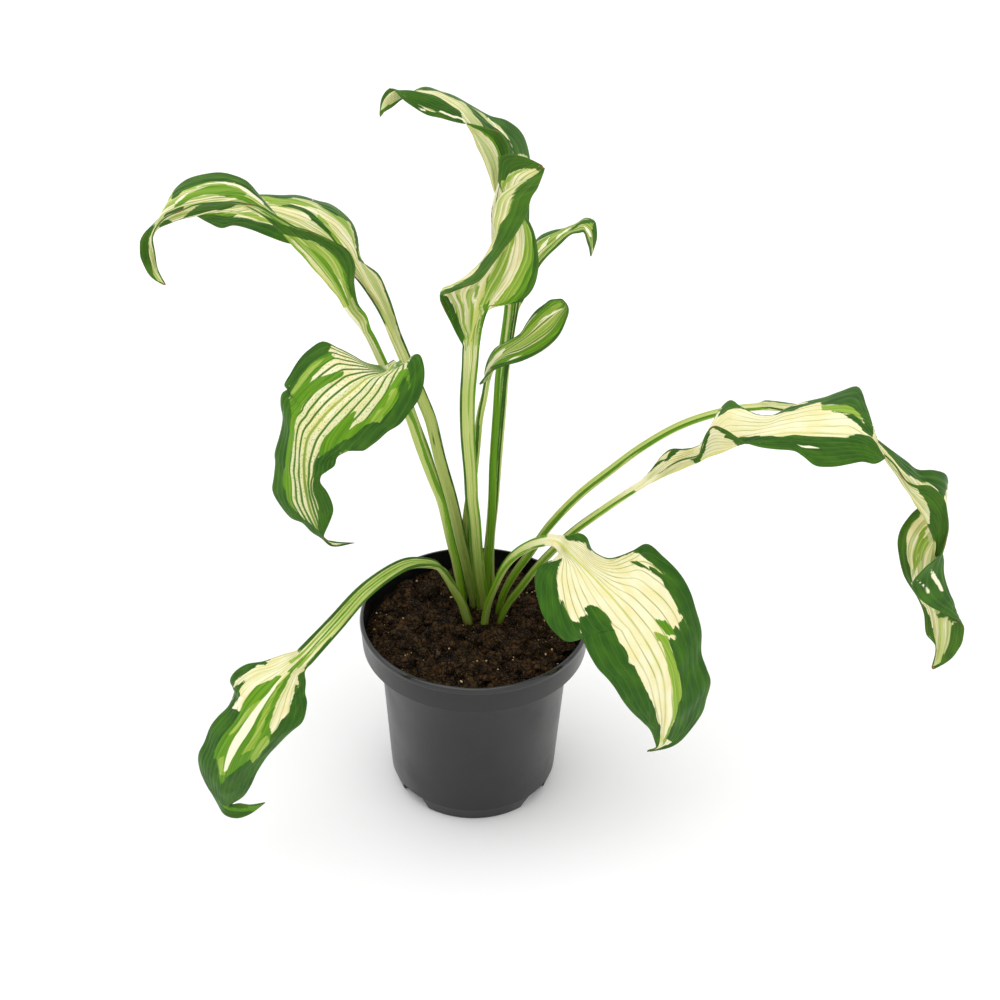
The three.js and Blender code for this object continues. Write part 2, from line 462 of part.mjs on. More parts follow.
// The rib as a smooth curve, with a frame carried along it that never spins by itself
function ribFrames(leaf) {
  const points = leaf.rib.map(vector);
  const knots = [0];
  for (let i = 1; i < points.length; i += 1) {
    knots.push(knots[i - 1] + Math.sqrt(points[i].distanceTo(points[i - 1])));
  }
  const curve = smoothCurve(knots, leaf.rib);
  const samples = [];
  for (let i = 0; i <= RIB_SAMPLES; i += 1) {
    samples.push(vector(curve(knots[knots.length - 1] * i / RIB_SAMPLES)));
  }
  const lengths = [0];
  for (let i = 1; i <= RIB_SAMPLES; i += 1) {
    lengths.push(lengths[i - 1] + samples[i].distanceTo(samples[i - 1]));
  }
  const neckSample = knots[leaf.neck] / knots[knots.length - 1] * RIB_SAMPLES;
  const face = THREE.MathUtils.degToRad(leaf.face);
  const normal = new THREE.Vector3(Math.cos(face), Math.sin(face), 0);
  const frames = samples.map((point, i) => {
    const ahead = samples[Math.min(i + 1, RIB_SAMPLES)];
    const along = ahead.clone().sub(samples[Math.max(i - 1, 0)]).normalize();
    normal.addScaledVector(along, -normal.dot(along)).normalize();
    return { point, along, normal: normal.clone() };
  });
  const lengthAt = (sample) => {
    const i = Math.min(Math.floor(sample), RIB_SAMPLES - 1);
    return lengths[i] + (lengths[i + 1] - lengths[i]) * (sample - i);
  };
  const frameAt = (length) => {
    let high = lengths.findIndex((value) => value >= length);
    if (high < 0) high = RIB_SAMPLES;
    const low = Math.max(high - 1, 0);
    const t = high === low ? 0 : (length - lengths[low]) / (lengths[high] - lengths[low]);
    const along = frames[low].along.clone().lerp(frames[high].along, t).normalize();
    const up = frames[low].normal.clone().lerp(frames[high].normal, t);
    up.addScaledVector(along, -up.dot(along)).normalize();
    return { point: frames[low].point.clone().lerp(frames[high].point, t), along, normal: up };
  };
  return { frameAt, neck: lengthAt(neckSample), total: lengths[RIB_SAMPLES] };
}

// Cross-sections of a leaf: "place" runs 0 to 1 up the stalk and 1 to 2 along the blade
function leafSections(leaf) {
  const { frameAt, neck, total } = ribFrames(leaf);
  const blade = total - neck;
  const halfWidth = steps(stalkRows(leaf.stalk), 1);
  const edgeLift = steps(stalkRows(leaf.stalk), 2);
  const bow = steps(BOW, 1);

  const turnedFrame = (place) => {
    const frame = frameAt(place < 1 ? place * neck : neck + (place - 1) * blade);
    const across = frame.along.clone().cross(frame.normal);
    const turn = THREE.MathUtils.degToRad(leaf.turn) * Math.min(place, 1);
    frame.across = across.clone().multiplyScalar(Math.cos(turn));
    frame.across.addScaledVector(frame.normal, Math.sin(turn));
    frame.normal.multiplyScalar(Math.cos(turn)).addScaledVector(across, -Math.sin(turn));
    return frame;
  };
  const stalkEdge = (place, side) => {
    const frame = turnedFrame(place);
    const edge = frame.across.clone().multiplyScalar(side * halfWidth(place));
    return edge.addScaledVector(frame.normal, edgeLift(place));
  };
  const fromRib = (row) => {
    const rib = frameAt(neck + row[0] * blade).point;
    return [row[1] - rib.x, row[2] - rib.y, row[3] - rib.z];
  };

  // The margin leaves the stalk's edge smoothly: one place just under the neck and one at it
  const half = (side, margin, fold) => {
    const under = -0.12;
    const places = [under, 0, ...margin.map((row) => row[0])];
    const values = [
      stalkEdge(1 + under * blade / neck, side).toArray(),
      stalkEdge(1, side).toArray(),
      ...margin.map(fromRib),
    ];
    return {
      side,
      margin: smoothCurve(places, values),
      fold: fold && smoothCurve(fold.map((row) => row[0]), fold.map(fromRib)),
      foldSpan: fold && [fold[0][0], fold[fold.length - 1][0]],
    };
  };
  const halves = [half(-1, leaf.left, leaf.foldLeft), half(1, leaf.right, leaf.foldRight)];

  const section = (place) => {
    const frame = turnedFrame(place);
    const part = clamp01(place - 1);
    const sides = halves.map((item) => {
      const edge = place < 1 ? stalkEdge(place, item.side) : vector(item.margin(part));
      const rise = edge.clone().multiplyScalar(item.side).cross(frame.along).normalize();
      const middle = edge.clone().multiplyScalar(0.5);
      middle.addScaledVector(rise, bow(place) * edge.length());
      if (item.fold && place >= 1) {
        const ease = 0.06;
        const [from, to] = item.foldSpan;
        const weight = clamp01(Math.min(part - from + ease, to + ease - part) / ease);
        middle.lerp(vector(item.fold(part)), weight);
      }
      return { edge, middle };
    });
    return { place, part, frame, sides };
  };
  return { section, blade, neck };
}

// A point of a section, from -1 at the left margin over 0 on the rib to 1 at the right margin
function sectionPoint(section, across) {
  const { edge, middle } = section.sides[across < 0 ? 0 : 1];
  const a = Math.abs(across);
  return section.frame.point.clone()
    .addScaledVector(edge, a * (2 * a - 1))
    .addScaledVector(middle, 4 * a * (1 - a));
}

// How far the skin stands off the leaf's middle sheet, above and below it: a stalk is round
// below, and a blade is thin, with a rib under it that thins out to the tip
function skinDepths(stalk, section, across) {
  const above = THREE.MathUtils.lerp(BLADE_THICKNESS, TIP_THICKNESS, section.part ** 3) / 2;
  const centre = steps(stalk, 3)(Math.min(section.place, 1));
  const round = Math.max(1 - across ** 2, 0) ** 0.8;
  const belowStalk = above + (centre - 2 * above) * round;
  const rib = (1 - section.part) ** 0.7 * Math.exp(-((across / RIB_WIDTH) ** 2));
  const belowBlade = above + RIB_DEPTH * rib;
  const mix = THREE.MathUtils.smoothstep(section.part, 0, 0.16);
  return { above, below: THREE.MathUtils.lerp(belowStalk, belowBlade, mix) };
}

// The upward way at each point of a sheet, the mean of the ways that the faces round it look
function sheetNormals(sheet) {
  const normals = sheet.map((row) => row.map(() => new THREE.Vector3()));
  const face = new THREE.Triangle();
  for (let i = 0; i + 1 < sheet.length; i += 1) {
    for (let j = 0; j < COLUMNS; j += 1) {
      const corners = [[i, j], [i, j + 1], [i + 1, j + 1], [i + 1, j]];
      for (const trio of [[0, 1, 2], [0, 2, 3]]) {
        face.set(...trio.map((k) => sheet[corners[k][0]][corners[k][1]]));
        const way = face.getNormal(new THREE.Vector3());
        for (const k of trio) normals[corners[k][0]][corners[k][1]].add(way);
      }
    }
  }
  return normals.map((row) => row.map((way) => way.normalize()));
}

// A leaf as one closed skin: an upper and a lower face split alike, closed round the edge
function leafGeometry(leaf) {
  const { section, blade, neck } = leafSections(leaf);
  const wanted = Math.round(blade / BLADE_ROW_LENGTH);
  const bladeRows = THREE.MathUtils.clamp(wanted, BLADE_ROWS_LEAST, BLADE_ROWS_MOST);
  const sections = FOOT_ROWS.map((length) => section(length / neck));
  const foot = FOOT_ROWS[FOOT_ROWS.length - 1] / neck;
  for (let i = 1; i < STALK_ROWS; i += 1) sections.push(section(foot + (1 - foot) * i / STALK_ROWS));
  for (let i = 0; i <= bladeRows; i += 1) sections.push(section(1 + LAST_ROW * i / bladeRows));
  const columns = Array.from({ length: COLUMNS + 1 }, (_, j) => 2 * j / COLUMNS - 1);
  const sheet = sections.map((item) => columns.map((across) => sectionPoint(item, across)));

  const stalk = stalkRows(leaf.stalk);
  const rows = sections.length - 1;
  const normals = sheetNormals(sheet);
  const upper = [];
  const lower = [];
  sheet.forEach((row, i) => row.forEach((point, j) => {
    const { above, below } = skinDepths(stalk, sections[i], columns[j]);
    upper.push(point.clone().addScaledVector(normals[i][j], above));
    lower.push(point.clone().addScaledVector(normals[i][j], -below));
  }));

  const positions = [...upper, ...lower].flatMap((point) => point.toArray());
  const index = [];
  const at = (face, i, j) => (face * (rows + 1) + i) * (COLUMNS + 1) + j;
  const quad = (a, b, c, d) => index.push(a, b, c, a, c, d);
  for (let i = 0; i < rows; i += 1) {
    for (let j = 0; j < COLUMNS; j += 1) {
      quad(at(0, i, j), at(0, i, j + 1), at(0, i + 1, j + 1), at(0, i + 1, j));
      index.push(at(1, i, j), at(1, i + 1, j + 1), at(1, i, j + 1));
      index.push(at(1, i, j), at(1, i + 1, j), at(1, i + 1, j + 1));
    }
    quad(at(0, i, 0), at(0, i + 1, 0), at(1, i + 1, 0), at(1, i, 0));
    quad(at(0, i, COLUMNS), at(1, i, COLUMNS), at(1, i + 1, COLUMNS), at(0, i + 1, COLUMNS));
  }
  for (let j = 0; j < COLUMNS; j += 1) {
    quad(at(0, 0, j), at(1, 0, j), at(1, 0, j + 1), at(0, 0, j + 1));
    quad(at(0, rows, j), at(0, rows, j + 1), at(1, rows, j + 1), at(1, rows, j));
  }
  const geometry = new THREE.BufferGeometry();
  geometry.setAttribute("position", new THREE.Float32BufferAttribute(positions, 3));
  geometry.setIndex(index);
  return geometry;
}

// Joining and cutting: a closed geometry as a solid, and a solid as a geometry again
function toSolid(geometry) {
  const bare = geometry.clone();
  bare.deleteAttribute("normal");
  bare.deleteAttribute("uv");
  const merged = mergeVertices(bare, 1e-4);
  return new wasm.Manifold(new wasm.Mesh({
    numProp: 3,
    vertProperties: new Float32Array(merged.attributes.position.array),
    triVerts: new Uint32Array(merged.index.array),
  }));
}

function toGeometry(solid) {
  const mesh = solid.getMesh();
  const geometry = new THREE.BufferGeometry();
  geometry.setAttribute("position", new THREE.Float32BufferAttribute(mesh.vertProperties, 3));
  geometry.setIndex(new THREE.Uint32BufferAttribute(mesh.triVerts, 1));
  return geometry;
}

// A turned solid from [radius, height] points that start and end on the axis, lowest first
function turned(profile, sides) {
  const geometry = new THREE.LatheGeometry(profile.map((p) => new THREE.Vector2(...p)), sides);
  return geometry.rotateX(Math.PI / 2);
}

// The pot's outer shape, or its inside: each wall comes in by "inset", and the floor lifts by it
function potProfile(inset, top) {
  const collarFoot = POT_HEIGHT - COLLAR_DEPTH;
  return [
    [0, inset],
    [BASE_RADIUS - inset, inset],
    [BODY_FOOT_RADIUS - inset, FOOT_HEIGHT],
    [BODY_TOP_RADIUS - inset, collarFoot + inset],
    [COLLAR_FOOT_RADIUS - inset, collarFoot + inset],
    ...top,
  ];
}

function potOutside() {
  const lip = [];
  const arcSteps = 3;
  for (let i = 0; i <= arcSteps; i += 1) {
    const angle = Math.PI / 2 * i / arcSteps;
    lip.push([
      RIM_RADIUS - LIP_RADIUS + LIP_RADIUS * Math.cos(angle),
      POT_HEIGHT - LIP_RADIUS + LIP_RADIUS * Math.sin(angle),
    ]);
  }
  return turned(potProfile(0, [...lip, [0, POT_HEIGHT]]), POT_SIDES);
}

function potInside(inset) {
  const rim = RIM_RADIUS - inset - LIP_RADIUS / 2;
  const over = POT_HEIGHT + 2;
  return turned(potProfile(inset, [[rim, POT_HEIGHT - 3], [rim + 0.5, over], [0, over]]), POT_SIDES);
}

// A wedge that cuts a notch: wide at the foot and narrow at the top, grown by "grow" all round
function notchWedge(place, grow) {
  const inner = NOTCH_INNER_RADIUS - grow;
  const outer = BASE_RADIUS + 20;
  const top = NOTCH_HEIGHT + grow;
  const foot = -3;
  const growAngle = THREE.MathUtils.radToDeg(1.2 * grow / NOTCH_INNER_RADIUS);
  const halfAt = (z) => {
    const width = THREE.MathUtils.mapLinear(z, 0, NOTCH_HEIGHT, NOTCH_FOOT_WIDTH, NOTCH_TOP_WIDTH);
    return width / 2 + growAngle;
  };
  const corners = [];
  for (const z of [foot, top]) {
    for (const [radius, side] of [[inner, -1], [outer, -1], [outer, 1], [inner, 1]]) {
      const angle = THREE.MathUtils.degToRad(place + side * halfAt(z) - 90);
      corners.push(radius * Math.cos(angle), radius * Math.sin(angle), z);
    }
  }
  const geometry = new THREE.BufferGeometry();
  geometry.setAttribute("position", new THREE.Float32BufferAttribute(corners, 3));
  geometry.setIndex([
    0, 2, 1, 0, 3, 2, 4, 5, 6, 4, 6, 7, 0, 1, 5, 0, 5, 4,
    1, 2, 6, 1, 6, 5, 2, 3, 7, 2, 7, 6, 3, 0, 4, 3, 4, 7,
  ]);
  return geometry;
}

function potSpace(inset) {
  let space = toSolid(potInside(inset));
  for (const place of NOTCH_PLACES) space = space.subtract(toSolid(notchWedge(place, inset)));
  return space;
}

function potGeometry() {
  let pot = toSolid(potOutside()).subtract(potSpace(WALL));
  for (const place of NOTCH_PLACES) {
    pot = pot.subtract(toSolid(notchWedge(place, 0)));
    const angle = THREE.MathUtils.degToRad(place - 90);
    const reach = (NOTCH_INNER_RADIUS + BASE_RADIUS) / 2;
    const drain = new THREE.CylinderGeometry(DRAIN_RADIUS, DRAIN_RADIUS, 6, 16);
    drain.rotateX(Math.PI / 2);
    drain.translate(reach * Math.cos(angle), reach * Math.sin(angle), NOTCH_HEIGHT + WALL / 2);
    pot = pot.subtract(toSolid(drain));
  }
  return toGeometry(pot);
}

// A seeded draw, so that the clods lie the same each time
function seededDraw(seed) {
  let state = seed;
  return () => {
    state = (state * 48271) % 2147483647;
    return state / 2147483647;
  };
}

// The top of the soil: a low heap in the middle, covered with rounded clods
function soilSurface() {
  const draw = seededDraw(SOIL_SEED);
  const clods = Array.from({ length: SOIL_CLODS }, () => {
    const angle = draw() * 2 * Math.PI;
    const radius = RIM_RADIUS * Math.sqrt(draw());
    const size = 4 + 5 * draw();
    const x = radius * Math.cos(angle);
    return { x, y: radius * Math.sin(angle), size, height: size * (0.25 + 0.3 * draw()) };
  });
  return (x, y) => {
    const far = Math.hypot(x, y) / RIM_RADIUS;
    const heap = SOIL_HEAP * Math.max(1 - far ** 2, 0);
    const lumps = clods.map((clod) => {
      const away = Math.hypot(x - clod.x, y - clod.y) / clod.size;
      return away < 1 ? clod.height * (1 - away ** 2) : 0;
    });
    return SOIL_EDGE_LEVEL - 1.5 + heap + Math.max(...lumps);
  };
}

// A square block whose top follows the soil surface
function soilBlock(level) {
  const count = 2 * Math.ceil(RIM_RADIUS / SOIL_GRID);
  const start = -count / 2 * SOIL_GRID;
  const positions = [];
  const index = [];
  for (let i = 0; i <= count; i += 1) {
    for (let j = 0; j <= count; j += 1) {
      const x = start + i * SOIL_GRID;
      const y = start + j * SOIL_GRID;
      positions.push(x, y, level(x, y));
    }
  }
  const at = (i, j) => i * (count + 1) + j;
  for (let i = 0; i < count; i += 1) {
    for (let j = 0; j < count; j += 1) {
      index.push(at(i, j), at(i + 1, j), at(i + 1, j + 1), at(i, j), at(i + 1, j + 1), at(i, j + 1));
    }
  }
  const edge = [];
  for (let k = 0; k < count; k += 1) edge.push(at(k, 0));
  for (let k = 0; k < count; k += 1) edge.push(at(count, k));
  for (let k = count; k > 0; k -= 1) edge.push(at(k, count));
  for (let k = count; k > 0; k -= 1) edge.push(at(0, k));
  const foot = positions.length / 3;
  for (const k of edge) positions.push(positions[3 * k], positions[3 * k + 1], -1);
  positions.push(0, 0, -1);
  const centre = foot + edge.length;
  edge.forEach((top, k) => {
    const next = (k + 1) % edge.length;
    index.push(top, foot + k, foot + next, top, foot + next, edge[next]);
    index.push(centre, foot + next, foot + k);
  });
  const geometry = new THREE.BufferGeometry();
  geometry.setAttribute("position", new THREE.Float32BufferAttribute(positions, 3));
  geometry.setIndex(index);
  return geometry;
}

// The round hole that a stalk stands in: it follows the foot of the stalk
function stalkHole(leaf) {
  const { frameAt } = ribFrames(leaf);
  const reach = 26;
  const points = [-2, 4, 10, 16, 21, reach].map((length) => {
    const frame = frameAt(Math.max(length, 0));
    const point = frame.point.clone().addScaledVector(frame.normal, -HOLE_BACKSET);
    return length < 0 ? point.addScaledVector(frame.along, length) : point;
  });
  const circle = new THREE.Shape();
  circle.absarc(0, 0, HOLE_RADIUS, 0, 2 * Math.PI);
  return new THREE.ExtrudeGeometry(circle, {
    steps: 4,
    curveSegments: HOLE_SIDES / 2,
    extrudePath: new THREE.CatmullRomCurve3(points),
  });
}

// Crumbs that the holes leave between the stalks are dropped
function soilGeometry() {
  let soil = potSpace(WALL + FIT_GAP).intersect(toSolid(soilBlock(soilSurface())));
  for (const leaf of LEAVES) soil = soil.subtract(toSolid(stalkHole(leaf)));
  const bodies = soil.decompose().sort((a, b) => b.volume() - a.volume());
  return toGeometry(bodies[0]);
}

// The assembled plant
function mesh(name, geometry, colour, roughness) {
  const material = new THREE.MeshStandardMaterial({ color: colour, roughness, metalness: 0 });
  const item = new THREE.Mesh(geometry, material);
  item.name = name;
  return item;
}

const plant = new THREE.Group();
plant.add(mesh("pot", potGeometry(), POT_COLOUR, 0.5));
plant.add(mesh("soil", soilGeometry(), SOIL_COLOUR, 0.95));
for (const leaf of LEAVES) {
  plant.add(mesh(leaf.name, leafGeometry(leaf), LEAF_COLOURS[leaf.colour], 0.4));
}

export default plant;
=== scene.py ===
"""Potted hosta: a nursery pot of compost with eleven variegated leaves on channelled stalks.

Millimetres in the tables and sizes below, metres in the meshes. +X is right, +Y is away from
the front, +Z is up, and the origin is the middle of the pot's underside.
"""
import math

import bpy
import numpy as np
from bpy.props import FloatProperty, FloatVectorProperty, IntProperty, PointerProperty
from mathutils import Matrix, Vector


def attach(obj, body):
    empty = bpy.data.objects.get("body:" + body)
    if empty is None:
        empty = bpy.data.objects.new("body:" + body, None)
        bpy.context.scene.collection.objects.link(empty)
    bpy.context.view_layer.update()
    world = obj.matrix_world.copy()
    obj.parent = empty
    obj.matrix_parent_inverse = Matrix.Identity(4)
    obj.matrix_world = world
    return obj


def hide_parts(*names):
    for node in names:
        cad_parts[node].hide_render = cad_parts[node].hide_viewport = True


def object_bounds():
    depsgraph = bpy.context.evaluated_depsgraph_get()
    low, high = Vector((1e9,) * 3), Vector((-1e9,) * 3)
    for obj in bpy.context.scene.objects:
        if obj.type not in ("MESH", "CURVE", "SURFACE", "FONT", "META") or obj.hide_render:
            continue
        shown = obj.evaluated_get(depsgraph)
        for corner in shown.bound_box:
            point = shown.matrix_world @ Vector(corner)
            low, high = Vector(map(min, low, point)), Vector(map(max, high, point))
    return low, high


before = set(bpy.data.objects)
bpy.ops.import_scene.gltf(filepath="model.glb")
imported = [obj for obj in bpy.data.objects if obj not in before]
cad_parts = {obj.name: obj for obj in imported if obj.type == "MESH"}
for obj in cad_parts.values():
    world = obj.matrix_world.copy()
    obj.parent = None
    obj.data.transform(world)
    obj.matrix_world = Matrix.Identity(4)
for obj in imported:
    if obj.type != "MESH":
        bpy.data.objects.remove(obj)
CAD_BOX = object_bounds()

bl_info = {
    "name": "Potted hosta",
    "version": (1, 0, 0),
    "blender": (4, 5, 0),
    "location": "3D Viewport > Sidebar > Hosta",
    "description": "Builds a variegated hosta in a nursery pot, piece by piece",
    "category": "Add Mesh",
}

MM = 0.001

# Pot: outer and inner lines of the wall as (radius, height), from the middle of the base
POT_OUTSIDE = [
    (44.4, 0), (45, 0.4), (47.5, 8), (47.8, 8.9), (47.95, 9.3), (53.8, 95.6), (54.3, 96.6),
    (55.2, 97), (62.9, 97), (63.4, 97.3), (63.55, 97.9), (64.55, 110.6), (64.65, 111.2),
    (64.9, 111.7), (65, 112.4), (64.95, 113.2), (64.6, 113.9), (64, 114.35), (63.3, 114.5),
]
POT_INSIDE = [
    (62.9, 114.3), (62.65, 113.6), (62.5, 112), (62.1, 99.2), (61.7, 98.4), (60.9, 98.2),
    (53.4, 98.2), (52.6, 97.8), (52.4, 97), (46.4, 8.7), (43.6, 1.4),
]
COLLAR_WALL = 1.4
NOTCH_PLACES = (-47.5, 53.5, 132.5, -126.5)
NOTCH_HEIGHT = 9
NOTCH_INNER_RADIUS = 34
NOTCH_OUTER_RADIUS = 65
NOTCH_FOOT_WIDTH = 29.7
NOTCH_TOP_WIDTH = 19.5
NOTCH_SLACK = 3
BASE_RADIUS = 45
POT_MOUTH = (63.1, 117)
DRAIN_RADIUS = 4
DRAIN_SIDES = 32
DRAIN_CUT = 6
DRAIN_LEVEL = 9.7

# Compost: the line of the filled space, and the level of its top
SOIL_SPACE = [
    (43.3, 1.7), (46.1, 8.7), (52.2, 98.7), (61.8, 98.7), (61.95, 101.0),
]
SOIL_EDGE_LEVEL = 102
SOIL_DROP = 2.6
SOIL_HEAP = 2.5
RIM_RADIUS = 65
POT_GAP = 1.7
STREWN_RADIUS = 60.5
CLOD_SHARE = 0.85
CRUMB_SHARE = 0.75
RIPPLE = 0.35

# Loose matter: how lumps turn and tilt in radians, how high they stand for the compost's painted shade and
# light, and fibres
LUMP_TURN = 6.28
LUMP_TILT = 0.9
LUMP_SHADE_RELIEF = 2.2
LUMP_TOP_SHADE_RELIEF = 1.3
FIBRE_SEED = 57
FIBRE_COUNT = 190
FIBRE_SPREAD = 58
FIBRE_ROWS = 7
FIBRE_SIDES = 4
DRAWN_IN = 0.94

# Stalk and blade: thickness, rib and how each half bows over the line from rib to margin
RIB_SAMPLES = 1200
BLADE_THICKNESS = 0.72
TIP_THICKNESS = 0.5
RIB_WIDTH = 0.12
RIB_DEPTH = 1
BOW = [(0, -0.25), (1, -0.15), (1.2, 0.07), (1.8, 0.06), (2, 0)]
MARGIN_START = -0.12
FOLD_EASE = 0.06
NECK_BLEND = 0.16
LAST_PART = 0.992
STALK_END_LEVEL = 88
STALK_FOOT_LEVEL = 104

# Leaf skin: how much longer the stalk's rows are, the least rows, and the waves between the veins
STALK_STRETCH = 2.2
LEAST_STALK_ROWS = 12
LEAST_BLADE_ROWS = 24
SWELL = 0.16
SWELL_TURN = 0.42
BOX_MARGIN = 0.02

# The camera behind the photograph, fitted to the pot's ellipses: its place, its turn as (yaw,
# pitch, roll), and its lens, also as a length in pixels of the 1000 by 1000 photograph
CAMERA_PLACE = np.array([0, -920, 849])
CAMERA_TURN = (0.8, 35.43, 1.17)
CAMERA_LENS = 75
SENSOR_WIDTH = 36
NEAREST_SEEN = 50
PLANT_MIDDLE = (0.03, 0, 0.2)
FILL_SHARE = 0.2
PHOTO_MIDDLE = 500
PHOTO_FOCUS = 2083

# Markings: the net that finds a drawn spot on a leaf, what counts as the margin or as a stray
# spot, how finely an outline is divided, and how far its band grows and reaches
NET_STALK_ROWS = 120
NET_BLADE_ROWS = 700
NET_COLUMNS = 80
LAYER_DEPTH = 4
NEAR_MARGIN = 0.955
PAST_MARGIN = 1.12
STRAY_REACH = 0.06
STRAY_PART = 0.3
RIB_PART = 0.05
OUTLINE_STEP = 0.03
OUTLINE_GROWTH = 0.35
BAND_REACH = 4
BROAD_BAND = 3

# Dry bits: where the dry tip starts, and how wide, often and rarely bits of the margin are dry
DRY_TIP = 0.985
DRY_WIDTH = 0.35
DRY_TURN = 31
DRY_RARITY = 1.55


def strip(kind, start, end, near, far):
    """A marking that runs straight along a leaf, between two parts of the way to its margins."""
    return kind, [(start, near), (end, near), (end, far), (start, far)]


MARGIN_LINES = ("left", "right", "fold_left", "fold_right")
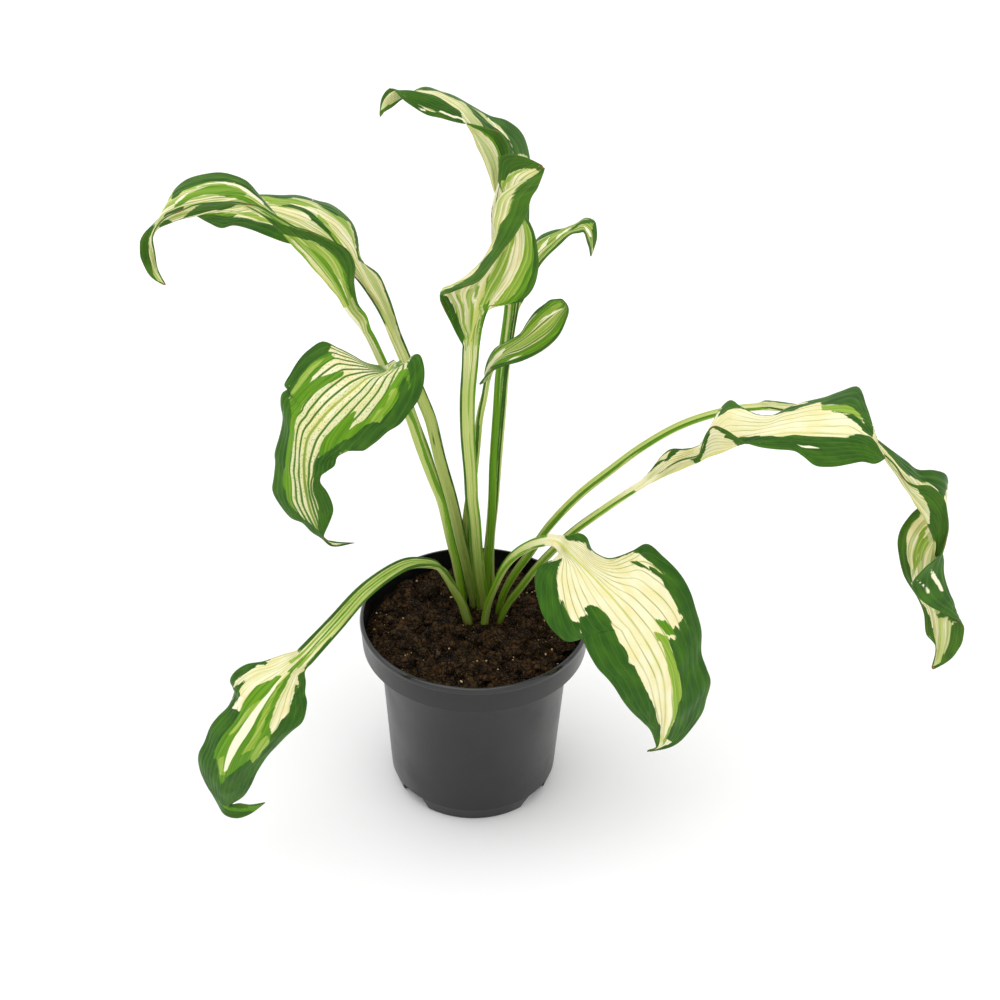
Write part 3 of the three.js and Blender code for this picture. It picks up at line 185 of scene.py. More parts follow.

# Leaves, drawn on the photograph. The rib is (photo x, photo y, millimetres back from the
# pot's middle), and the blade starts at its point number "neck", counted with the two in the
# soil. "foot" is where the stalk leaves the soil, and "lean" how far it has moved since its buried
# end. Margins and folds are (part of the blade, photo x, photo y, millimetres nearer the camera
# than the rib there). "face" is the way that the stalk's channel looks, in degrees round from +X,
# and "turn" how far it has turned at the neck. "stalk" is as stalk_rows says.
LEAVES = [dict(
    name="leaf_front_left", neck=10, face=48, turn=35, foot=(-3.5, 5), lean=(-.6, -.6),
    stalk=(2.7, 3.2, 4.6, 1.4, 2.6, 1.8),
    rib=[
        (463, 604, 3), (455, 590, 1), (447, 577, -3), (438, 566, -9), (425, 563, -15), (405, 565, -25),
        (367, 590, -46), (333, 626, -64), (304, 657, -79), (279, 684, -90), (256, 712, -98),
        (240, 735, -103), (228, 757, -106), (221, 781, -106), (220, 799, -102), (227, 810, -98),
        (240, 812, -97), (254, 809, -98), (266, 802, -100)
    ],
    left=[
        (.05, 305, 671, -4), (.12, 306, 682, -8), (.2, 305, 692, -10), (.28, 307, 704, -10),
        (.35, 303, 720, -9), (.42, 292, 731, -8), (.5, 279, 743, -7), (.57, 266, 757, -6),
        (.63, 257, 772, -5), (.68, 251, 785, -4), (.73, 243, 796, -4), (.78, 232, 803, -3),
        (.85, 239, 803, 4), (.92, 251, 805, 3), (1, 266, 802, 0)
    ],
    right=[
        (.05, 282, 655, -4), (.1, 264, 661, -8), (.16, 246, 665, -10), (.22, 234, 673, -10),
        (.27, 231, 682, -12), (.31, 235, 690, -14), (.36, 230, 704, -12), (.42, 218, 717, -10),
        (.48, 210, 728, -9), (.53, 205, 741, -8), (.58, 199, 754, -7), (.64, 200, 769, -6),
        (.69, 206, 783, -5), (.74, 214, 796, -3), (.78, 219, 806, -3), (.85, 231, 817, -2),
        (.92, 248, 815, -2), (1, 266, 802, 0)
    ],
), dict(
    name="leaf_front_right", neck=8, face=155, turn=-30, foot=(5, 2.5), lean=(.5, -.3),
    stalk=(2.7, 3, 2.9, 1.3, 2.6, 1.8),
    rib=[
        (487, 605, 1), (495, 585, -3), (504, 568, -7), (514, 556, -11), (525, 548, -14), (540, 542, -18),
        (556, 541, -23), (575, 559, -31), (600, 584, -40), (619, 605, -48), (638, 629, -55),
        (651, 651, -60), (662, 676, -64), (665, 704, -66), (664, 729, -65), (660, 745, -63),
        (646, 751, -59)
    ],
    left=[
        (.03, 568, 535, -2), (.07, 579, 533, -3), (.11, 587, 538, -6), (.15, 591, 549, -12),
        (.2, 605, 558, -14), (.26, 621, 556, -10), (.3, 634, 550, -6), (.34, 646, 544, -3),
        (.4, 664, 557, -3), (.46, 679, 573, -4), (.52, 689, 590, -5), (.58, 696, 610, -6),
        (.64, 701, 632, -6), (.69, 701, 652, -6), (.74, 707, 669, -5), (.78, 710, 681, -5),
        (.83, 706, 698, -6), (.87, 702, 712, -6), (.91, 690, 731, -5), (.95, 674, 745, -3),
        (1, 646, 752, 0)
    ],
    right=[
        (.03, 559, 553, -3), (.065, 553, 560, -4), (.105, 545, 563, -6), (.145, 538, 569, -8),
        (.18, 535, 582, -8), (.21, 538, 600, -8), (.26, 545, 618, -9), (.31, 555, 632, -9),
        (.35, 567, 641, -9), (.385, 578, 639, -8), (.41, 581, 634, -6), (.43, 585, 643, -6),
        (.46, 588, 652, -6), (.5, 596, 666, -6), (.55, 607, 678, -6), (.6, 615, 688, -6),
        (.65, 622, 699, -6), (.71, 631, 711, -6), (.78, 643, 722, -5), (.85, 651, 731, -3),
        (.9, 655, 741, -2), (.94, 655, 748, 0), (1, 646, 752, 0)
    ],
), dict(
    name="leaf_right_near", neck=8, face=172, turn=0, foot=(13.5, 6.8), lean=(1, -.4),
    stalk=(2.6, 2.8, 2.8, 1.3, 2.4, 1.6),
    rib=[
        (508, 603, 6), (520, 588, 4), (535, 569, 2), (551, 552, 0), (573, 532, -4), (602, 510.5, -9),
        (641, 486, -15), (665, 475, -19), (687, 465, -22), (706, 456, -24), (726, 449, -26),
        (745, 442, -28), (780, 434, -31), (820, 434, -33), (858, 437, -35), (875, 446, -37),
        (886, 458, -39)
    ],
    left=[
        (.04, 650, 471, 0), (.08, 660, 458, 0), (.12, 669, 450, 1), (.18, 684, 449, 0),
        (.24, 696, 447, -6), (.29, 703, 441, -10), (.32, 711, 426, -14), (.35, 719, 411, -18),
        (.38, 729, 401, -21), (.43, 741, 407, -20), (.48, 755, 414, -18), (.54, 773, 415, -17),
        (.6, 788, 408, -20), (.66, 805, 402, -23), (.72, 824, 397, -25), (.78, 841, 392, -26),
        (.82, 857, 387, -28), (.87, 866, 407, -18), (.93, 873, 428, -8), (.96, 879, 445, -3),
        (1, 886, 458, 0)
    ],
    right=[
        (.07, 658, 474, 4), (.15, 676, 462, 7), (.2, 688, 458, 8), (.23, 699, 455, 9), (.26, 702, 447, 11),
        (.29, 706, 434, 12), (.31, 712, 427, 12), (.35, 724, 430, 13), (.39, 739, 439, 12),
        (.45, 758, 446, 10), (.5, 776, 449, 9), (.55, 793, 451, 8), (.61, 804, 457, 7), (.66, 815, 466, 6),
        (.72, 830, 467, 5), (.79, 848, 465, 4), (.85, 862, 462, 3), (.91, 874, 464, 2), (1, 886, 458, 0)
    ],
), dict(
    name="leaf_right_far", neck=11, face=178, turn=5, foot=(12.5, 15.3), lean=(.8, .2),
    stalk=(2.6, 3, 2.6, 1.2, 2.6, 1.6),
    rib=[
        (503, 592, 15.5), (514, 573, 16), (530, 552, 17), (549, 526, 17), (579, 495, 17), (609, 471, 16),
        (642, 446.5, 16), (681, 425, 15), (720, 412.5, 14), (755, 408, 13), (795, 410, 12), (835, 421, 10),
        (866, 437, 8), (884, 456, 6), (900, 478, 4), (916, 502, 2), (928, 522, 0), (935, 542, -2),
        (932, 562, -3), (931, 582, -4), (934, 602, -5), (939, 622, -5), (940, 642, -5), (937, 658, -5),
        (931, 671, -5)
    ],
    left=[
        (.1, 770, 401, -6), (.25, 830, 412, -6), (.36, 868, 433, -5), (.42, 890, 450, -4),
        (.47, 906, 461, -6), (.51, 919, 470, -8), (.54, 933, 470, -12), (.57, 946, 475, -16),
        (.6, 944, 490, -21), (.63, 918, 508, -18), (.66, 905, 522, -9), (.7, 898, 538, -5),
        (.74, 899, 556, -4), (.78, 903, 572, -3), (.815, 909, 584, -4), (.85, 919, 600, -3),
        (.88, 924, 614, -3), (.91, 926, 632, -3), (.95, 935, 645, -2), (1, 931, 671, 0)
    ],
    right=[
        (.1, 772, 408, 2), (.25, 828, 425, 4), (.36, 869, 444, 9), (.42, 893, 463, 12),
        (.46, 905, 480, 12), (.49, 915, 485, 12), (.53, 932, 487, 11), (.56, 943, 498, 12),
        (.6, 948, 515, 12), (.65, 947, 536, 11), (.7, 940, 556, 15), (.74, 925, 568, 20),
        (.78, 912, 587, 20), (.82, 930, 607, 15), (.85, 961, 622, 5), (.88, 963, 637, 1),
        (.92, 957, 652, -1), (1, 931, 671, 0)
    ],
    fold_right=[
        (.72, 943, 558, 8), (.76, 944, 575, 10), (.79, 948, 592, 8), (.83, 954, 606, 4), (.86, 953, 620, 3)
    ],
), dict(
    name="leaf_left_near", neck=13, face=-8, turn=-40, foot=(-6.5, 14.2), lean=(-.7, .1),
    stalk=(2.6, 3.3, 3.3, 1.8, 3, 2.2),
    rib=[
        (463, 598, 15), (460, 580, 16), (456, 560, 17), (451, 540, 18), (441, 500, 21), (433, 480, 22),
        (425, 460, 23), (417, 440, 24), (410, 418, 25), (397, 391, 26), (383, 365, 28), (366, 331, 29),
        (350, 312, 30), (337, 293, 31), (322, 275, 32), (309, 260, 33), (292, 241, 34), (276, 225, 34),
        (261, 213, 34), (240, 205, 33), (216, 210, 31), (194, 215, 29), (172, 221, 27), (157, 229, 25),
        (150, 243, 23), (151, 259, 21), (157, 275, 20), (168, 287, 19)
    ],
    left=[
        (.04, 367, 316, 0), (.1, 358, 302, 2), (.16, 354, 284, 3), (.22, 355, 265, 3), (.27, 348, 251, 4),
        (.33, 331, 241, 5), (.39, 313, 232, 5), (.45, 293, 226, 6), (.51, 272, 214, 6), (.57, 256, 206, 6),
        (.63, 236, 202, 10), (.68, 215, 203, 12), (.74, 195, 205, 12), (.79, 178, 212, 11),
        (.84, 160, 223, 11), (.88, 153, 236, 9), (.92, 155, 252, 5), (.96, 158, 270, 1), (1, 168, 287, 0)
    ],
    right=[
        (.06, 358, 310, -8), (.16, 340, 286, -16), (.27, 322, 262, -20), (.36, 303, 246, -22),
        (.43, 286, 229, -22), (.48, 272, 210, -20), (.53, 258, 194, -16), (.58, 244, 180, -14),
        (.63, 228, 174, -14), (.69, 207, 174, -15), (.74, 187, 180, -15), (.78, 175, 190, -14),
        (.82, 169, 207, -12), (.85, 156, 222, -8), (.88, 143, 235, -3), (.91, 139, 249, 0),
        (.94, 144, 266, 0), (.97, 153, 278, 0), (1, 168, 287, 0)
    ],
), dict(
    name="leaf_left_far", neck=11, face=-30, turn=10, foot=(0, 18.5), lean=(-.2, .4),
    stalk=(2.6, 3.2, 3.2, 1.8, 3, 2.2),
    rib=[
        (474, 598, 20), (470, 580, 22.5), (466, 560, 26), (461, 540, 29.5), (451, 500, 34), (440, 460, 38),
        (430, 420, 42), (422, 400, 44), (406, 364, 48), (394, 336, 52), (382, 311, 57), (369, 288, 62),
        (357, 265, 67), (345, 245, 71), (328, 227, 75), (305, 214, 79), (280, 207, 82), (255, 206, 84),
        (230, 209, 85), (212, 212, 85), (195, 215, 84)
    ],
    left=[
        (.06, 382, 318, 2), (.12, 371, 300, 3), (.18, 358, 281, 4), (.25, 342, 265, 4), (.33, 322, 254, 6),
        (.41, 306, 247, 8), (.5, 285, 243, 8), (.58, 268, 236, 8), (.66, 250, 229, 7), (.74, 234, 226, 5),
        (.82, 221, 228, 4), (.9, 208, 223, 2), (1, 195, 215, 0)
    ],
    right=[
        (.06, 394, 310, -3), (.12, 387, 292, -6), (.18, 378, 274, -9), (.24, 363, 262, -12),
        (.29, 357, 250, -14), (.34, 355, 230, -18), (.39, 347, 217, -20), (.44, 333, 206, -22),
        (.5, 317, 201, -22), (.57, 300, 196, -21), (.65, 281, 196, -18), (.73, 260, 195, -15),
        (.82, 240, 198, -10), (.9, 218, 203, -5), (1, 195, 215, 0)
    ],
), dict(
    name="leaf_left_hanging", neck=15, face=30, turn=-55, foot=(-6.8, 22), lean=(-.6, .4),
    stalk=(2.3, 2.4, 2.1, 1.2, 2.4, 1.8),
    rib=[
        (464, 594, 24), (459, 575, 27), (453, 545, 32), (444, 510, 37), (435, 480, 40), (425, 450, 41),
        (415, 423, 41), (406, 400, 40), (399, 381, 39), (397, 370, 37), (397, 364, 32), (397, 362, 26),
        (395, 364, 18), (391, 367, 9), (385, 373, 0), (366, 380, -7), (350, 393, -13), (332, 408, -19),
        (317, 425, -24), (308, 438, -27), (304, 455, -30), (304, 473, -31), (306, 490, -31),
        (310, 507, -30), (317, 525, -28), (322, 536, -26), (332, 543, -24), (357, 543, -21)
    ],
    left=[
        (.03, 405, 363, 4), (.06, 413, 356, 6), (.09, 420, 355, 6), (.12, 424, 364, 5), (.16, 424, 379, 2),
        (.2, 420, 395, -1), (.25, 410, 412, -4), (.3, 400, 424, -6), (.35, 387, 432, -7),
        (.4, 374, 443, -8), (.44, 364, 450, -8), (.49, 350, 450, -7), (.53, 338, 456, -6),
        (.57, 334, 466, -5), (.61, 323, 473, -4), (.65, 320, 482, -2), (.69, 327, 491, 0),
        (.73, 332, 502, 2), (.77, 333, 511, 2), (.81, 329, 523, 1), (.85, 324, 537, 0), (.91, 335, 542, 0),
        (1, 357, 543, 0)
    ],
    right=[
        (.03, 385, 366, -2), (.08, 366, 363, -4), (.12, 352, 355, -6), (.16, 338, 348, -8),
        (.2, 322, 342, -9), (.24, 308, 351, -8), (.28, 299, 361, -8), (.32, 291, 374, -8),
        (.36, 285, 385, -8), (.385, 289, 389, -9), (.41, 283, 393, -8), (.45, 281, 405, -8),
        (.49, 283, 418, -8), (.53, 281, 433, -8), (.57, 275, 452, -8), (.61, 276, 463, -7),
        (.65, 274, 478, -6), (.69, 273, 490, -6), (.73, 279, 502, -5), (.77, 290, 517, -4),
        (.81, 303, 523, -3), (.84, 312, 532, -2), (.87, 321, 538, -1), (.92, 332, 546, 0), (1, 357, 543, 0)
    ],
), dict(
    name="leaf_centre_twisted", neck=12, face=270, turn=-15, foot=(4, 12), lean=(.1, .1),
    stalk=(2.6, 3, 4, 1.6, 2.8, 2.2),
    rib=[
        (483, 600, 12.5), (480, 580, 13), (477, 550, 14), (474, 520, 15), (472, 500, 15.5), (470, 470, 17),
        (468, 440, 18), (467, 420, 19), (467, 395, 20), (469, 365, 21), (471, 345, 22), (475, 322, 23),
        (480, 303, 24), (487, 285, 25), (496, 268, 25), (504, 250, 26), (508, 232, 26), (510, 215, 27),
        (515, 199, 28), (527, 183, 29), (545, 167, 30)
    ],
    left=[
        (.06, 458, 338, -2), (.12, 451, 322, -3), (.18, 444, 309, -3), (.22, 440, 299, 0),
        (.3, 452, 292, 7), (.38, 466, 286, 11), (.45, 480, 280, 13), (.52, 492, 264, 13),
        (.6, 505, 248, 12), (.68, 517, 231, 10), (.74, 526, 215, 8), (.82, 532, 197, 7),
        (.89, 538, 187, 5), (.95, 543, 174, 2), (1, 545, 167, 0)
    ],
    right=[
        (.05, 483, 325, -2), (.1, 488, 310, -3), (.15, 497, 304, -4), (.22, 510, 303, -5),
        (.3, 522, 300, -5), (.38, 533, 288, -5), (.45, 538, 270, -5), (.52, 537, 250, -7),
        (.58, 533, 230, -10), (.64, 522, 210, -11), (.7, 508, 198, -11), (.76, 500, 185, -9),
        (.82, 499, 168, -6), (.87, 501, 156, -5), (.92, 514, 154, -2), (.96, 529, 159, 0), (1, 545, 167, 0)
    ],
    fold_left=[
        (.12, 459, 318, -4), (.18, 455, 303, -5), (.22, 449, 292, -2), (.3, 459, 283, 0),
        (.38, 470, 274, 2), (.45, 480, 263, 3), (.52, 489, 250, 3), (.6, 495, 235, 3), (.68, 495, 220, 2),
        (.74, 496, 209, 2), (.82, 502, 196, 2), (.9, 519, 183, 1)
    ],
), dict(
    name="leaf_top_arching", neck=10, face=20, turn=70, foot=(6, 23), lean=(.3, .5),
    stalk=(2.7, 3.7, 3.9, 2, 3.2, 2.4),
    rib=[
        (486, 587, 25), (488, 560, 28), (490, 540, 30), (493, 500, 33), (495, 460, 37), (498, 410, 41),
        (501, 375, 44), (506, 338, 47), (510, 305, 50), (512, 280, 53), (512, 255, 55), (509, 230, 56),
        (503, 207, 56), (495, 189, 55), (488, 168, 54), (480, 148, 52), (472, 131, 50), (463, 116, 48),
        (450, 105, 46), (436, 98, 43), (420, 93, 41), (405, 91, 39), (393, 93, 37), (384, 102, 35),
        (379, 118, 34)
    ],
    left=[
        (.1, 498, 275, 6), (.2, 493, 250, 9), (.28, 491, 228, 9), (.34, 492, 205, 8), (.39, 500, 182, 8),
        (.43, 509, 162, 8), (.47, 508, 146, 9), (.51, 500, 133, 9), (.56, 487, 128, 9), (.61, 470, 124, 9),
        (.67, 455, 122, 8), (.72, 442, 118, 7), (.77, 428, 115, 5), (.82, 414, 107, 4), (.87, 401, 98, 6),
        (.91, 391, 88, 2), (.95, 382, 97, -1), (1, 379, 118, 0)
    ],
    right=[
        (.1, 522, 280, -6), (.2, 527, 255, -12), (.28, 528, 228, -16), (.34, 529, 203, -18),
        (.39, 530, 180, -20), (.43, 529, 155, -21), (.47, 522, 134, -21), (.51, 508, 121, -20),
        (.56, 490, 116, -18), (.61, 473, 107, -16), (.66, 456, 97, -14), (.71, 440, 91, -12),
        (.77, 424, 87, -10), (.82, 412, 92, -8), (.87, 401, 100, -6), (.91, 392, 107, -4),
        (.95, 384, 112, -1), (1, 379, 118, 0)
    ],
), dict(
    name="leaf_small_curled", neck=11, face=250, turn=80, foot=(-.8, 28), lean=(-.1, .3),
    stalk=(2.3, 2.8, 3.3, 1.6, 2.4, 1.6),
    rib=[
        (471, 584, 31), (469, 560, 33), (467, 535, 36), (468, 515, 38), (471, 495, 39), (474, 470, 39),
        (477, 445, 38), (480, 418, 36), (485, 395, 33), (489, 377, 31), (496, 363, 30), (508, 352, 30),
        (522, 343, 31), (536, 333, 32), (548, 323, 35), (558, 314, 39), (565, 306, 44), (562, 299, 49)
    ],
    left=[
        (.04, 485, 376, -4), (.16, 487, 362, -6), (.26, 495, 349, -8), (.36, 508, 341, -9),
        (.46, 520, 334, -10), (.56, 527, 323, -11), (.66, 536, 312, -11), (.76, 545, 304, -10),
        (.86, 553, 300, -7), (1, 562, 299, 0)
    ],
    right=[
        (.08, 480, 384, 4), (.16, 484, 378, 6), (.26, 494, 370, 7), (.36, 507, 365, 8), (.46, 522, 361, 8),
        (.56, 538, 353, 8), (.66, 551, 344, 8), (.76, 561, 332, 8), (.86, 568, 316, 8), (.94, 567, 305, 4),
        (1, 562, 299, 0)
    ],
), dict(
    name="leaf_back_small", neck=9, face=225, turn=10, foot=(9, 30.5), lean=(.3, .5),
    stalk=(2.2, 2.4, 2.6, 1.4, 2.2, 1.6),
    rib=[
        (490, 575, 36), (491, 540, 43), (495, 500, 49), (498, 460, 54), (502, 410, 60), (506, 370, 65),
        (511, 335, 69), (515, 312, 73), (521, 290, 77), (530, 272, 81), (540, 257, 85), (551, 245, 87),
        (562, 236, 89), (573, 230, 90), (583, 226, 90), (590, 231, 89), (592, 243, 88), (591, 257, 86)
    ],
    left=[
        (.12, 516, 290, -4), (.25, 522, 265, -8), (.38, 537, 240, -10), (.5, 551, 231, -10),
        (.6, 565, 228, -9), (.7, 577, 223, -8), (.79, 590, 219, -7), (.86, 596, 224, -4),
        (.93, 596, 240, -2), (1, 591, 257, 0)
    ],
    right=[
        (.12, 525, 296, 2), (.25, 532, 281, 4), (.36, 539, 267, 5), (.46, 550, 253, 6), (.56, 562, 242, 6),
        (.65, 573, 234, 5), (.74, 582, 232, 4), (.83, 586, 239, 3), (.92, 589, 249, 1), (1, 591, 257, 0)
    ],
)]
